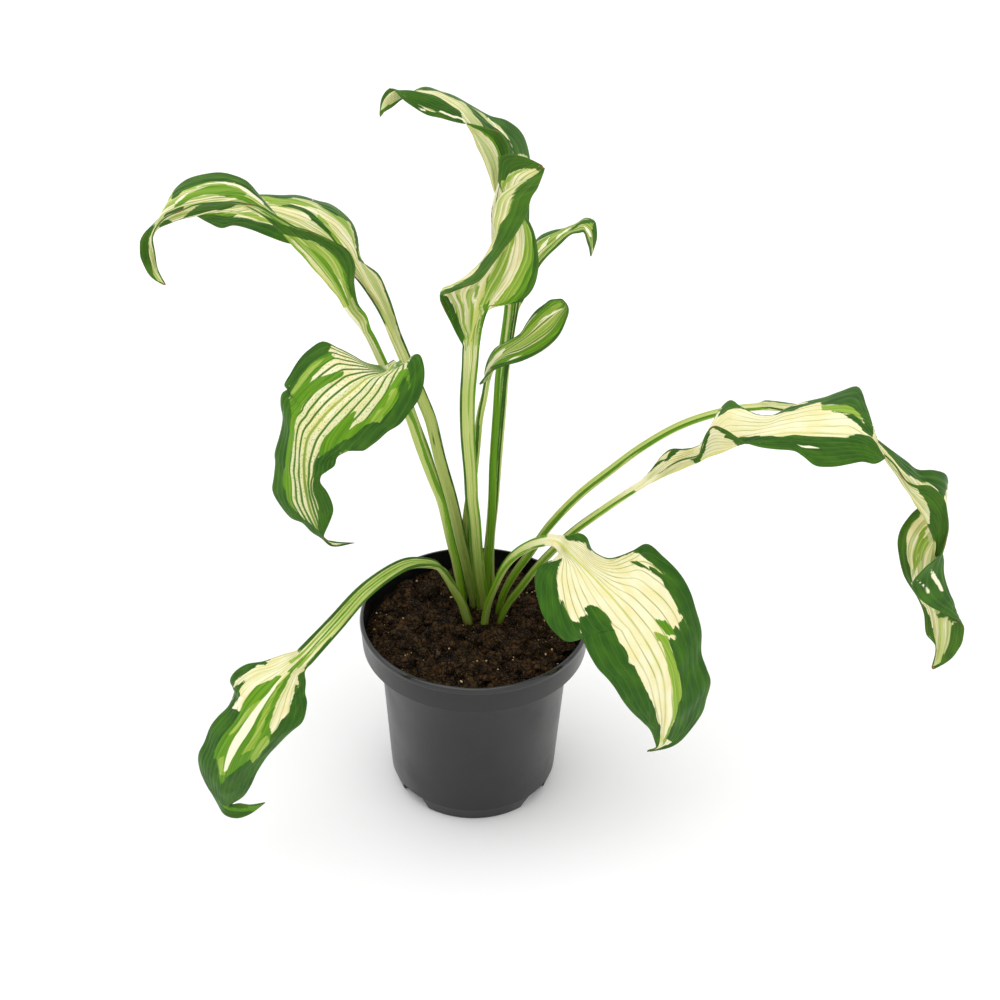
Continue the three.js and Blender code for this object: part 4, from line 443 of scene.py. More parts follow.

# Markings, drawn on enlarged crops of the photograph: "drawn" holds (crop x, crop y, zoom,
# outlines), where an outline's spots are pixels of the crop, and "placed" holds outlines given as
# (part of the blade, part of the way to the margin). Outlines of one kind join, and the kinds lie
# over each other as mid, lime, dark, white. "margin" is the width of the dark edge in millimetres,
# "fan" the part of the width that the veins start within at the neck, and "veins", "specks" and
# "stripes" how strongly each of them shows.
MARKS = {
    "leaf_front_left": dict(margin=.6, fan=.75, veins=.35, specks=.1, stripes=.2, drawn=[
        (190, 635, 5.2, [
            ("dark", [(395, 140), (340, 138), (212, 230), (235, 290), (240, 240), (300, 195), (340, 170),
                (345, 155), (395, 150)]),
            ("dark", [(235, 300), (262, 255), (290, 235), (262, 290), (262, 320), (240, 345), (222, 380),
                (265, 400), (200, 490), (130, 600), (120, 640), (145, 650), (150, 725), (160, 780),
                (165, 840), (150, 870), (110, 820), (50, 620), (95, 560), (105, 530), (100, 490),
                (130, 440), (200, 380)]),
            ("white", [(285, 325), (260, 365), (235, 385), (220, 380), (250, 345), (262, 318)]),
            ("mid", [(455, 215), (420, 240), (350, 265), (300, 320), (270, 380), (235, 450), (200, 490),
                (120, 640), (150, 660), (150, 730), (178, 720), (215, 580), (380, 340), (475, 215)]),
            ("white", [(520, 165), (480, 215), (420, 290), (290, 450), (240, 520), (180, 710), (195, 700),
                (230, 620), (330, 460), (440, 280), (500, 190)]),
            ("mid", [(530, 185), (510, 230), (430, 400), (405, 470), (420, 520), (410, 570), (370, 600),
                (330, 680), (300, 705), (310, 660), (250, 700), (200, 760), (180, 800), (185, 700),
                (230, 620), (290, 530), (400, 340), (450, 270)]),
            ("lime", [(480, 240), (310, 560), (270, 620), (330, 590), (440, 320)]),
            ("lime", [(400, 520), (415, 560), (360, 620), (310, 700), (300, 700), (330, 620), (370, 550)]),
            ("lime", [(440, 280), (240, 470), (200, 520), (215, 520), (330, 400), (400, 330)]),
            ("lime", [(150, 640), (180, 630), (180, 720), (155, 720)]),
            ("dark", [(570, 200), (600, 185), (590, 440), (520, 500), (440, 590), (230, 870), (180, 885),
                (150, 870), (160, 800), (190, 740), (310, 650), (330, 680), (380, 600), (415, 570),
                (420, 520), (440, 500), (480, 440), (520, 400), (525, 370), (545, 290), (548, 255),
                (560, 265), (565, 330), (570, 250), (560, 215)]),
            ("dark", [(590, 190), (610, 150), (670, 80), (728, 10), (728, 40), (600, 190)]),
            ("dark", [(200, 880), (290, 905), (350, 905), (395, 870), (250, 957), (200, 935)]),
        ]),
    ], placed=[
        strip("dark", -1, 0, .72, 1.1),
        strip("dark", -1, .02, -1.1, -.82),
        strip("lime", -1, .05, -.34, -.14),
        strip("lime", -1, .05, .3, .5),
        strip("mid", -1, .08, -.02, .1),
        ("mid", [(.41, -1.1), (1, -1.1), (1, 1.1), (.37, 1.1), (.37, .1), (.41, -.02)]),
        ("dark", [(.4, -1.12), (.6, -1.12), (.75, -1.12), (.9, -1.12), (.9, -.6), (.66, -.52),
            (.5, -.68)]),
        ("dark", [(.36, .78), (.5, .7), (.66, .62), (.78, 0), (.86, .5), (.86, 1.12), (.36, 1.12)]),
    ]),
    "leaf_front_right": dict(margin=.8, fan=.45, veins=.48, specks=.05, stripes=0, drawn=[
        (515, 510, 4.6, [
            ("dark", [(130, 232), (175, 238), (215, 222), (195, 270), (190, 330), (200, 400), (228, 480),
                (215, 415), (222, 412), (262, 508), (290, 520), (310, 590), (270, 605)]),
            ("dark", [(300, 492), (345, 482), (320, 455), (350, 437), (385, 450), (415, 475), (440, 510),
                (460, 560), (480, 610), (500, 635), (515, 660), (520, 705), (545, 715), (560, 750),
                (590, 810), (640, 910), (650, 960), (668, 1000), (665, 1050), (655, 1085), (640, 1040),
                (600, 990), (320, 630), (318, 580)]),
            ("dark", [(230, 120), (270, 108), (300, 108), (325, 130), (340, 165), (405, 213), (380, 200),
                (330, 175), (325, 150), (300, 145), (260, 138), (235, 132)]),
            ("dark", [(545, 198), (600, 155), (660, 1108), (700, 1050), (757, 900), (765, 850), (762, 790),
                (745, 720), (715, 620), (705, 590), (735, 600), (745, 590), (728, 548), (735, 532),
                (775, 575), (750, 515), (765, 510), (770, 490), (795, 575), (800, 570), (775, 490),
                (750, 470), (710, 380), (690, 350), (680, 320), (570, 255), (530, 245), (600, 258),
                (622, 272), (618, 262), (700, 308), (690, 290), (640, 262), (640, 247), (600, 225)]),
            ("mid", [(636, 497), (690, 512), (735, 572), (700, 570)]),
            ("lime", [(640, 560), (700, 585), (715, 640), (750, 740), (762, 800), (764, 850), (740, 940),
                (700, 1040), (672, 1085), (680, 1060), (718, 980), (722, 820), (708, 740), (668, 600),
                (655, 600)]),
            ("lime", [(195, 240), (205, 235), (197, 270), (215, 450), (190, 440)]),
        ]),
    ], placed=[
        strip("mid", -1, -.05, -1.1, -.72),
        strip("mid", -1, -.05, .78, 1.1),
        ("dark", [(.9, -1.12), (1, -1.12), (1, -.05), (.94, -.3)]),
        ("dark", [(.86, .8), (.93, .5), (1, .2), (1, 1.12), (.86, 1.12)]),
        ("dark", [(.29, .78), (.34, .72), (.39, .72), (.39, 1.12), (.29, 1.12)]),
    ]),
    "leaf_right_near": dict(margin=.5, fan=.65, veins=.42, specks=.1, stripes=.1, drawn=[
        (640, 375, 3.832, [
            ("dark", [(335, 102), (395, 125), (385, 130), (340, 135), (320, 150), (300, 165)]),
            ("dark", [(375, 110), (520, 150), (570, 130), (640, 108), (695, 90), (845, 60), (850, 80),
                (880, 150), (890, 200), (888, 240), (850, 165), (820, 130), (700, 113), (690, 105),
                (590, 135), (540, 150), (480, 157), (430, 148), (400, 135)]),
            ("lime", [(695, 115), (820, 132), (850, 165), (845, 178), (815, 158), (780, 148), (735, 138),
                (700, 134)]),
            ("dark", [(735, 140), (790, 150), (830, 162), (870, 205), (885, 240), (860, 222), (840, 195),
                (800, 165)]),
            ("dark", [(380, 240), (440, 235), (500, 235), (535, 240), (590, 232), (700, 240), (800, 240),
                (820, 230), (860, 235), (890, 245), (925, 290), (938, 320), (885, 340), (570, 290),
                (450, 260), (400, 255)]),
            ("dark", [(300, 205), (340, 225), (385, 240), (390, 250), (360, 250), (330, 225), (290, 205),
                (272, 205), (245, 290), (215, 318), (190, 320), (150, 322), (215, 300), (250, 220),
                (270, 198)]),
        ]),
        (640, 385, 3.8, [
            ("white", [(592, 227), (640, 231), (668, 236), (684, 244), (650, 241), (610, 236)]),
            ("dark", [(95, 290), (140, 240), (168, 243), (128, 268), (105, 290)]),
            ("dark", [(50, 310), (106, 284), (55, 316), (5, 357)]),
        ]),
    ], placed=[
        strip("mid", -1, -.02, .75, 1.1),
        strip("dark", -1, -.2, -1.1, -.9),
        ("dark", [(.36, .62), (.42, .6), (.5, .6), (.58, .62), (.58, 1.12), (.36, 1.12)]),
    ]),
    "leaf_right_far": dict(margin=2, fan=.7, veins=.5, specks=.1, stripes=.6, drawn=[
        (830, 400, 3.9, [
            ("dark", [(165, 150), (230, 190), (350, 270), (385, 285), (390, 275), (475, 310), (440, 385),
                (380, 320), (340, 310), (300, 290), (260, 250)]),
            ("dark", [(340, 340), (370, 330), (460, 440), (460, 500), (450, 560), (420, 620), (410, 600),
                (410, 540), (405, 480), (390, 430), (350, 360)]),
            ("dark", [(340, 425), (275, 620), (295, 680), (320, 730), (320, 700), (310, 650), (310, 500),
                (340, 460), (350, 440)]),
            ("lime", [(340, 560), (370, 500), (380, 490), (360, 560), (335, 640), (320, 690), (325, 640)]),
            ("lime", [(385, 560), (360, 620), (325, 690), (350, 610), (380, 530)]),
            ("dark", [(400, 635), (380, 650), (345, 790), (400, 830), (470, 865), (515, 868), (490, 820),
                (415, 700)]),
            ("dark", [(355, 790), (370, 830), (375, 900), (395, 920), (405, 960), (410, 1000), (415, 950),
                (385, 840), (375, 810)]),
            ("dark", [(515, 870), (518, 900), (460, 1010), (400, 1055), (440, 1000), (475, 880)]),
        ]),
        (880, 455, 4, [
            ("white", [(232, 498), (254, 545), (245, 550), (201, 446)]),
            ("white", [(183, 520), (198, 552), (186, 560), (167, 528), (155, 478)]),
        ]),
    ], placed=[
        strip("mid", -1, .1, .8, 1.1),
        ("dark", [(.68, .35), (.74, .3), (.8, .35), (.86, .5), (.86, 1.12), (.68, 1.12)]),
    ]),
    "leaf_left_near": dict(margin=1.6, fan=.75, veins=.6, specks=.1, stripes=.95, drawn=[
        (100, 150, 3.6, [
            ("dark", [(575, 165), (270, 140), (262, 180), (270, 175), (300, 150), (340, 130), (440, 112),
                (480, 120), (570, 180), (620, 225)]),
            ("white", [(270, 190), (350, 132), (450, 116), (550, 160), (590, 195), (585, 200), (540, 165),
                (490, 135), (440, 122), (340, 140), (300, 172), (275, 195)]),
            ("mid", [(265, 210), (300, 175), (400, 128), (450, 128), (500, 145), (550, 180), (600, 215),
                (560, 205), (500, 180), (440, 165), (380, 160), (330, 175), (290, 200)]),
            ("dark", [(205, 270), (240, 230), (300, 205), (380, 190), (450, 190), (530, 198), (470, 205),
                (400, 215), (260, 258)]),
            ("dark", [(170, 290), (185, 460), (240, 490), (195, 450), (185, 400), (175, 350), (180, 310),
                (200, 280)]),
            ("dark", [(530, 200), (600, 235), (660, 270), (720, 285), (790, 305), (850, 340), (885, 365),
                (900, 400), (912, 440), (905, 520), (895, 480), (840, 370), (780, 330), (660, 290)]),
            ("lime", [(640, 285), (720, 310), (780, 340), (840, 380), (870, 430), (885, 500), (860, 460),
                (760, 350), (700, 320)]),
        ]),
    ], placed=[
        strip("mid", -1, .1, -1.1, -.75),
        strip("white", -1, .1, -.1, .05),
        strip("dark", -1, .1, .8, 1.1),
        strip("mid", .12, .6, -.85, -.6),
        strip("mid", .1, .5, -.35, -.22),
        strip("mid", .1, .45, .1, .2),
        strip("lime", .15, .55, .35, .5),
        strip("dark", .1, .5, .72, 1.1),
        strip("lime", .04, .42, -.2, -.1),
        strip("lime", .04, .42, -.02, .04),
    ]),
    "leaf_left_far": dict(margin=2.2, fan=.7, veins=.5, specks=.1, stripes=.7, drawn=[
        (230, 170, 4.8, [
            ("dark", [(720, 520), (690, 470), (660, 440), (625, 430), (612, 400), (600, 270), (430, 150),
                (400, 150), (360, 130), (320, 123), (260, 130), (150, 120), (150, 128), (260, 142),
                (320, 138), (415, 165), (450, 185), (500, 215), (540, 235), (570, 250), (590, 290),
                (603, 390), (612, 430), (630, 445), (660, 460), (700, 500)]),
            ("lime", [(415, 165), (450, 185), (500, 215), (550, 245), (600, 380), (560, 290), (430, 185)]),
            ("dark", [(230, 175), (300, 170), (350, 185), (450, 270), (530, 380), (450, 290), (400, 245),
                (350, 205), (300, 185)]),
            ("lime", [(140, 122), (220, 135), (330, 150), (390, 170), (415, 190), (300, 165), (225, 170),
                (170, 150)]),
            ("lime", [(350, 165), (420, 210), (480, 280), (540, 370), (560, 390), (520, 370), (450, 290),
                (400, 230)]),
            ("dark", [(0, 230), (60, 235), (130, 250), (200, 265), (250, 300), (300, 350), (270, 350),
                (0, 270)]),
            ("lime", [(0, 200), (80, 225), (150, 245), (210, 262), (230, 265), (90, 210)]),
        ]),
    ], placed=[
        strip("dark", -1, .1, .86, 1.1),
        strip("lime", -1, .1, -.6, -.45),
        ("dark", [(.8, -.62), (.86, -.5), (.92, -.4), (1, -.3), (1, -1.12), (.8, -1.12)]),
        ("mid", [(.8, -.4), (.9, -.25), (1, -.1), (1, -.5), (.86, -.6), (.8, -.7)]),
    ]),
    "leaf_left_hanging": dict(margin=1, fan=.8, veins=1, specks=.8, stripes=.3, drawn=[
        (265, 330, 5.6, [
            ("dark", [(410, 105), (300, 85), (260, 130), (210, 165), (180, 200), (150, 260), (115, 305),
                (150, 315), (130, 335), (92, 400), (110, 460), (100, 550), (65, 620), (60, 950),
                (150, 1050), (240, 1110), (300, 1155), (318, 1165), (310, 1140), (170, 1010), (130, 960),
                (110, 900), (95, 830), (110, 760), (130, 600), (140, 540), (150, 480), (135, 370),
                (150, 340), (190, 270), (290, 170), (350, 130)]),
            ("mid", [(440, 235), (240, 310), (220, 340), (150, 420), (140, 500), (130, 620), (120, 740),
                (130, 820), (150, 1000), (165, 1000), (145, 880), (145, 700), (165, 600), (200, 450),
                (240, 390), (430, 260)]),
            ("lime", [(345, 160), (215, 300), (180, 340), (150, 370), (290, 175)]),
            ("dark", [(820, 160), (850, 135), (670, 570), (620, 610), (560, 665), (500, 678), (440, 665),
                (380, 760), (320, 800), (305, 840), (330, 890), (370, 950), (350, 1100), (318, 1160),
                (300, 960), (275, 880), (275, 800), (290, 720), (330, 700), (440, 620), (480, 605),
                (560, 540), (600, 520), (640, 525), (680, 480), (720, 440), (745, 380), (755, 320),
                (780, 260), (800, 350), (815, 310), (800, 200)]),
            ("mid", [(500, 455), (505, 480), (470, 560), (480, 600), (440, 620), (400, 650), (300, 720),
                (310, 660), (390, 550)]),
            ("lime", [(700, 340), (730, 320), (735, 350), (700, 420), (660, 470), (640, 520), (630, 510)]),
            ("lime", [(760, 310), (800, 370), (790, 420), (740, 470), (690, 540), (700, 480), (740, 420)]),
            ("lime", [(560, 560), (600, 500), (650, 430), (660, 450), (580, 580)]),
        ]),
    ], placed=[
        strip("mid", -1, .02, -1.1, -.7),
        strip("mid", -1, .02, .3, .5),
        strip("dark", -1, 0, .8, 1.1),
        strip("lime", -1, .05, -.3, -.05),
        ("mid", [(.12, -.56), (.2, -.5), (.3, -.56), (.4, -.42), (.5, -.42), (.6, -.42), (.6, -.7),
            (.4, -.8), (.25, -.86), (.12, -.8)]),
        ("mid", [(.2, .62), (.3, .6), (.4, .6), (.55, .52), (.7, .5), (.7, .75), (.4, .8), (.2, .86)]),
        ("dark", [(.3, -.86), (.5, -.8), (.7, -.7), (.85, -.5), (.85, -1.12), (.3, -1.12)]),
        ("dark", [(.2, .92), (.5, .84), (.85, .7), (.85, 1.12), (.2, 1.12)]),
    ]),
    "leaf_centre_twisted": dict(margin=2, fan=.7, veins=.4, specks=.05, stripes=.7, drawn=[
        (405, 150, 4.8, [
            ("dark", [(275, 960), (255, 900), (235, 830), (205, 770), (180, 770), (170, 700), (205, 705),
                (235, 760), (255, 810), (270, 860), (285, 900)]),
            ("lime", [(250, 700), (275, 760), (300, 940), (310, 940), (300, 860), (270, 690)]),
            ("lime", [(300, 670), (320, 860), (325, 940), (332, 940), (330, 850), (325, 740), (315, 665)]),
            ("lime", [(340, 650), (345, 740), (345, 850), (340, 940), (350, 940), (355, 840), (358, 740),
                (355, 640)]),
            ("mid", [(385, 600), (375, 760), (360, 850), (350, 940), (360, 940), (375, 860), (395, 760),
                (410, 680), (410, 590)]),
            ("mid", [(410, 748), (490, 735), (570, 720), (580, 320), (560, 350), (590, 380), (600, 450),
                (600, 530), (575, 610), (530, 690), (480, 725), (440, 738)]),
            ("dark", [(470, 22), (530, 30), (600, 55), (672, 80), (600, 85), (560, 90), (520, 100),
                (480, 140), (455, 170)]),
            ("lime", [(455, 200), (480, 150), (520, 115), (600, 90), (560, 110), (510, 140), (480, 180),
                (460, 215)]),
        ]),
    ], placed=[
        strip("dark", -1, .1, -1.1, -.88),
        strip("mid", -1, 0, .86, 1.1),
        strip("lime", -1, .1, .15, .3),
        ("dark", [(.22, -1), (.3, -.92), (.41, -.82), (.477, -.74), (.544, -.76), (.6, -.74), (.68, -.75),
            (.72, -.82), (.76, -.87), (.82, -.89), (.9, -.86), (.95, -.82), (1, -.9), (1, -1.12),
            (.22, -1.12)]),
        ("lime", [(.221, 0), (.271, .06), (.384, -.02), (.506, 0), (.58, .1), (.619, .3), (.539, .18),
            (.327, .22), (.226, .18)]),
        ("lime", [(.236, .42), (.419, .5), (.587, .64), (.619, .72), (.591, .93), (.544, .83), (.486, .78),
            (.427, .68), (.329, .68), (.251, .62), (.226, .5)]),
        ("dark", [(.3, .88), (.45, .86), (.6, .9), (.62, 1.12), (.3, 1.12)]),
        ("lime", [(-.02, -.7), (.12, -.6), (.2, -.5), (.12, -.5), (-.02, -.6)]),
    ]),
    "leaf_top_arching": dict(margin=2, fan=.7, veins=.4, specks=.1, stripes=.6, drawn=[
        (350, 80, 4.6, [
            ("dark", [(620, 165), (680, 185), (740, 205), (825, 360), (760, 340), (745, 300)]),
            ("dark", [(190, 38), (250, 45), (310, 55), (380, 75), (460, 120), (500, 145), (550, 200),
                (500, 190), (440, 165), (380, 135), (240, 75)]),
            ("dark", [(315, 50), (335, 33), (380, 42), (420, 60), (480, 80), (540, 105), (560, 125),
                (450, 75), (380, 52), (340, 48)]),
            ("dark", [(240, 85), (340, 155), (390, 165), (430, 185), (490, 203), (550, 205), (500, 190),
                (420, 150), (330, 130), (290, 110)]),
            ("dark", [(160, 55), (230, 60), (190, 55), (160, 75), (140, 105)]),
            ("dark", [(150, 140), (180, 120), (220, 110), (185, 140), (150, 150)]),
        ]),
        (374, 80, 6, [
            ("white", [(262, 158), (280, 170), (315, 180), (312, 186), (285, 178)]),
            ("white", [(375, 190), (400, 183), (430, 199), (480, 216), (540, 239), (570, 258), (520, 240),
                (470, 225), (420, 205), (395, 194)]),
        ]),
    ], placed=[
        strip("mid", -1, .1, -1.1, -.5),
        strip("mid", -1, .35, .1, .35),
        strip("dark", -1, .4, .5, .68),
        strip("dark", -1, .4, .8, 1.1),
        ("white", [(.566, .9), (.531, .7), (.454, .575), (.455, .56), (.533, .68), (.569, .86)]),
        ("dark", [(.65, .95), (.63, .66), (.596, .55), (.57, .45), (.53, .3), (.48, .2), (.42, .2),
            (.42, .62), (.5, .62), (.55, .68), (.6, .8)]),
        ("mid", [(.62, -.8), (.58, -.68), (.545, -.62), (.52, -.6), (.49, -.56), (.44, -.45), (.4, -.45),
            (.4, -1.12), (.62, -1.12)]),
        ("dark", [(.64, -1.12), (.62, -.92), (.58, -.78), (.545, -.72), (.52, -.7), (.49, -.66),
            (.44, -.6), (.4, -.6), (.4, -1.12)]),
        strip("white", .12, .4, -1.1, -.8),
    ]),
    "leaf_small_curled": dict(margin=1.2, fan=.7, veins=.9, specks=.3, stripes=.9, drawn=[
        (460, 290, 5.2, [
            ("dark", [(90, 480), (110, 440), (150, 420), (210, 400), (280, 380), (350, 350), (430, 310),
                (565, 130), (560, 100), (555, 150), (520, 210), (400, 315), (330, 345), (260, 370),
                (200, 385), (150, 410)]),
            ("mid", [(170, 330), (230, 290), (310, 240), (350, 190), (400, 130), (440, 80), (480, 60),
                (530, 50), (560, 90), (520, 100), (480, 105), (430, 130), (350, 215), (310, 245),
                (250, 290), (190, 330), (130, 400)]),
            ("white", [(560, 100), (440, 150), (400, 180), (440, 140), (510, 105)]),
            ("white", [(340, 335), (270, 365), (215, 388), (280, 352)]),
            ("white", [(100, 475), (130, 430), (180, 350), (240, 300), (220, 340), (160, 420),
                (110, 470)]),
        ]),
    ], placed=[
        strip("lime", .05, .95, 0, .3),
        strip("mid", .25, .9, .6, .85),
        strip("lime", .1, .9, -.5, -.25),
        strip("dark", -1, .2, .85, 1.1),
        ("dark", [(.3, -.8), (.5, -.82), (.7, -.8), (.8, -.82), (.95, -.9), (.95, -1.12), (.3, -1.12)]),
        strip("dark", .4, .96, .93, 1.1),
    ]),
    "leaf_back_small": dict(margin=1, fan=.7, veins=.8, specks=.2, stripes=.9, drawn=[
        (515, 210, 5.6, [
            ("white", [(125, 250), (160, 190), (200, 150), (175, 200), (140, 240)]),
            ("white", [(230, 160), (290, 110), (330, 90), (280, 130), (240, 180)]),
            ("dark", [(120, 165), (290, 95), (240, 120), (160, 160), (125, 180)]),
            ("dark", [(300, 140), (340, 90), (400, 60), (440, 55), (455, 70), (400, 75), (360, 90),
                (330, 115), (300, 145)]),
            ("dark", [(440, 60), (455, 80), (425, 265), (425, 200), (430, 120)]),
            ("white", [(380, 90), (425, 150), (415, 150), (395, 115)]),
        ]),
    ], placed=[
        strip("mid", -1, .95, .25, .45),
        strip("lime", 0, .95, -.5, -.2),
        strip("lime", 0, .95, .55, .8),
    ]),
}


def smooth_curve(places, values):
    """A smooth curve through values at uneven places, read at an array of places."""
    x = np.asarray(places, float)
    y = np.asarray(values, float)
    step = np.diff(x)[:, None]
    rise = np.diff(y, axis=0) / step
    slope = np.empty_like(y)
    slope[0], slope[-1] = rise[0], rise[-1]
    slope[1:-1] = (step[1:] * rise[:-1] + step[:-1] * rise[1:]) / (step[:-1] + step[1:])

    def read(place):
        p = np.clip(np.atleast_1d(place), x[0], x[-1])
        i = np.clip(np.searchsorted(x, p, side="right") - 1, 0, len(x) - 2)
        h = (x[i + 1] - x[i])[:, None]
        t = (p - x[i])[:, None] / h
        return (
            (2 * t**3 - 3 * t**2 + 1) * y[i] + (t**3 - 2 * t**2 + t) * h * slope[i]
            + (3 * t**2 - 2 * t**3) * y[i + 1] + (t**3 - t**2) * h * slope[i + 1]
        )

    return read


def unit(vectors):
    """The vectors at length 1."""
    return vectors / np.maximum(np.linalg.norm(vectors, axis=-1, keepdims=True), 1e-9)


def smooth_step(value, low, high):
    """0 below low, 1 above high and smooth between."""
    t = np.clip((value - low) / (high - low), 0, 1)
    return t * t * (3 - 2 * t)


def stalk_rows(stalk):
    """A stalk's section along its length: place, half width, edge rise, thickness."""
    foot, middle, top, lift, thick, top_thick = stalk
    return np.array([
        (0, foot, 0.8, 2.8),
        (0.25, (foot + middle) / 2, lift, thick),
        (0.5, middle, lift, thick),
        (0.9, top, lift, (thick + top_thick) / 2),
        (1, top * 1.1, lift, top_thick),
    ])


def camera_ways():
    """The camera's ways to the right, up and ahead."""
    yaw, pitch, roll = (math.radians(angle) for angle in CAMERA_TURN)
    ahead = np.array([
        math.sin(yaw) * math.cos(pitch), math.cos(yaw) * math.cos(pitch), -math.sin(pitch),
    ])
    level = np.array([math.cos(yaw), -math.sin(yaw), 0])
    upright = np.cross(level, ahead)
    right = level * math.cos(roll) + upright * math.sin(roll)
    return right, upright * math.cos(roll) - level * math.sin(roll), ahead


CAMERA_RIGHT, CAMERA_UP, CAMERA_AHEAD = camera_ways()


def sight(x, y):
    """The way from the camera through a place in the photograph."""
    across, down = (x - PHOTO_MIDDLE) / PHOTO_FOCUS, (y - PHOTO_MIDDLE) / PHOTO_FOCUS
    return CAMERA_AHEAD + CAMERA_RIGHT * across - CAMERA_UP * down


def in_photo(points):
    """Where points show in the photograph, and how far ahead of the camera they are."""
    away = points - CAMERA_PLACE
    far = away @ CAMERA_AHEAD
    x = PHOTO_MIDDLE + PHOTO_FOCUS * (away @ CAMERA_RIGHT) / far
    y = PHOTO_MIDDLE - PHOTO_FOCUS * (away @ CAMERA_UP) / far
    return x, y, far


def rib_samples(rib, neck):
    """A rib's smooth line in even steps: its points, the length up to each, and up to the neck."""
    points = np.array(rib, float)
    gaps = np.linalg.norm(np.diff(points, axis=0), axis=1)
    knots = np.concatenate([[0], np.cumsum(np.sqrt(gaps))])
    samples = smooth_curve(knots, points)(np.linspace(0, knots[-1], RIB_SAMPLES + 1))
    steps = np.linalg.norm(np.diff(samples, axis=0), axis=1)
    lengths = np.concatenate([[0], np.cumsum(steps)])
    neck_sample = knots[neck] / knots[-1] * RIB_SAMPLES
    return samples, lengths, np.interp(neck_sample, np.arange(RIB_SAMPLES + 1), lengths)


def margin_lines(table):
    """The names of the margins and folds that a leaf has."""
    return [key for key in MARGIN_LINES if key in table]


def placed(drawn):
    """A leaf drawn on the photograph, with its points as places in millimetres."""
    foot, lean = np.array(drawn["foot"]), np.array(drawn["lean"])
    rib = [(*(foot - lean), STALK_END_LEVEL), (*foot, STALK_FOOT_LEVEL)]
    for x, y, back in drawn["rib"]:
        way = sight(x, y)
        rib.append(CAMERA_PLACE + way * (back - CAMERA_PLACE[1]) / way[1])
    samples, lengths, neck = rib_samples(rib, drawn["neck"])
    table = dict(drawn, rib=rib)
    for key in margin_lines(drawn):
        table[key] = []
        for part, x, y, nearer in drawn[key]:
            length = neck + part * (lengths[-1] - neck)
            on_rib = np.array([np.interp(length, lengths, column) for column in samples.T])
            far = (on_rib - CAMERA_PLACE) @ CAMERA_AHEAD - nearer
            table[key].append((part, *np.round(CAMERA_PLACE + sight(x, y) * far, 1)))
    return table


def rounded(table):
    """The same leaf with its places to the nearest half millimetre, as the solid part has them."""
    lines = {"rib": [to_half(place) for place in table["rib"]]}
    for key in margin_lines(table):
        lines[key] = [(part, *to_half(place)) for part, *place in table[key]]
    return dict(table, **lines)


def to_half(place):
    """A place in millimetres, to the nearest half."""
    return tuple(round(float(c) * 2) / 2 for c in place)


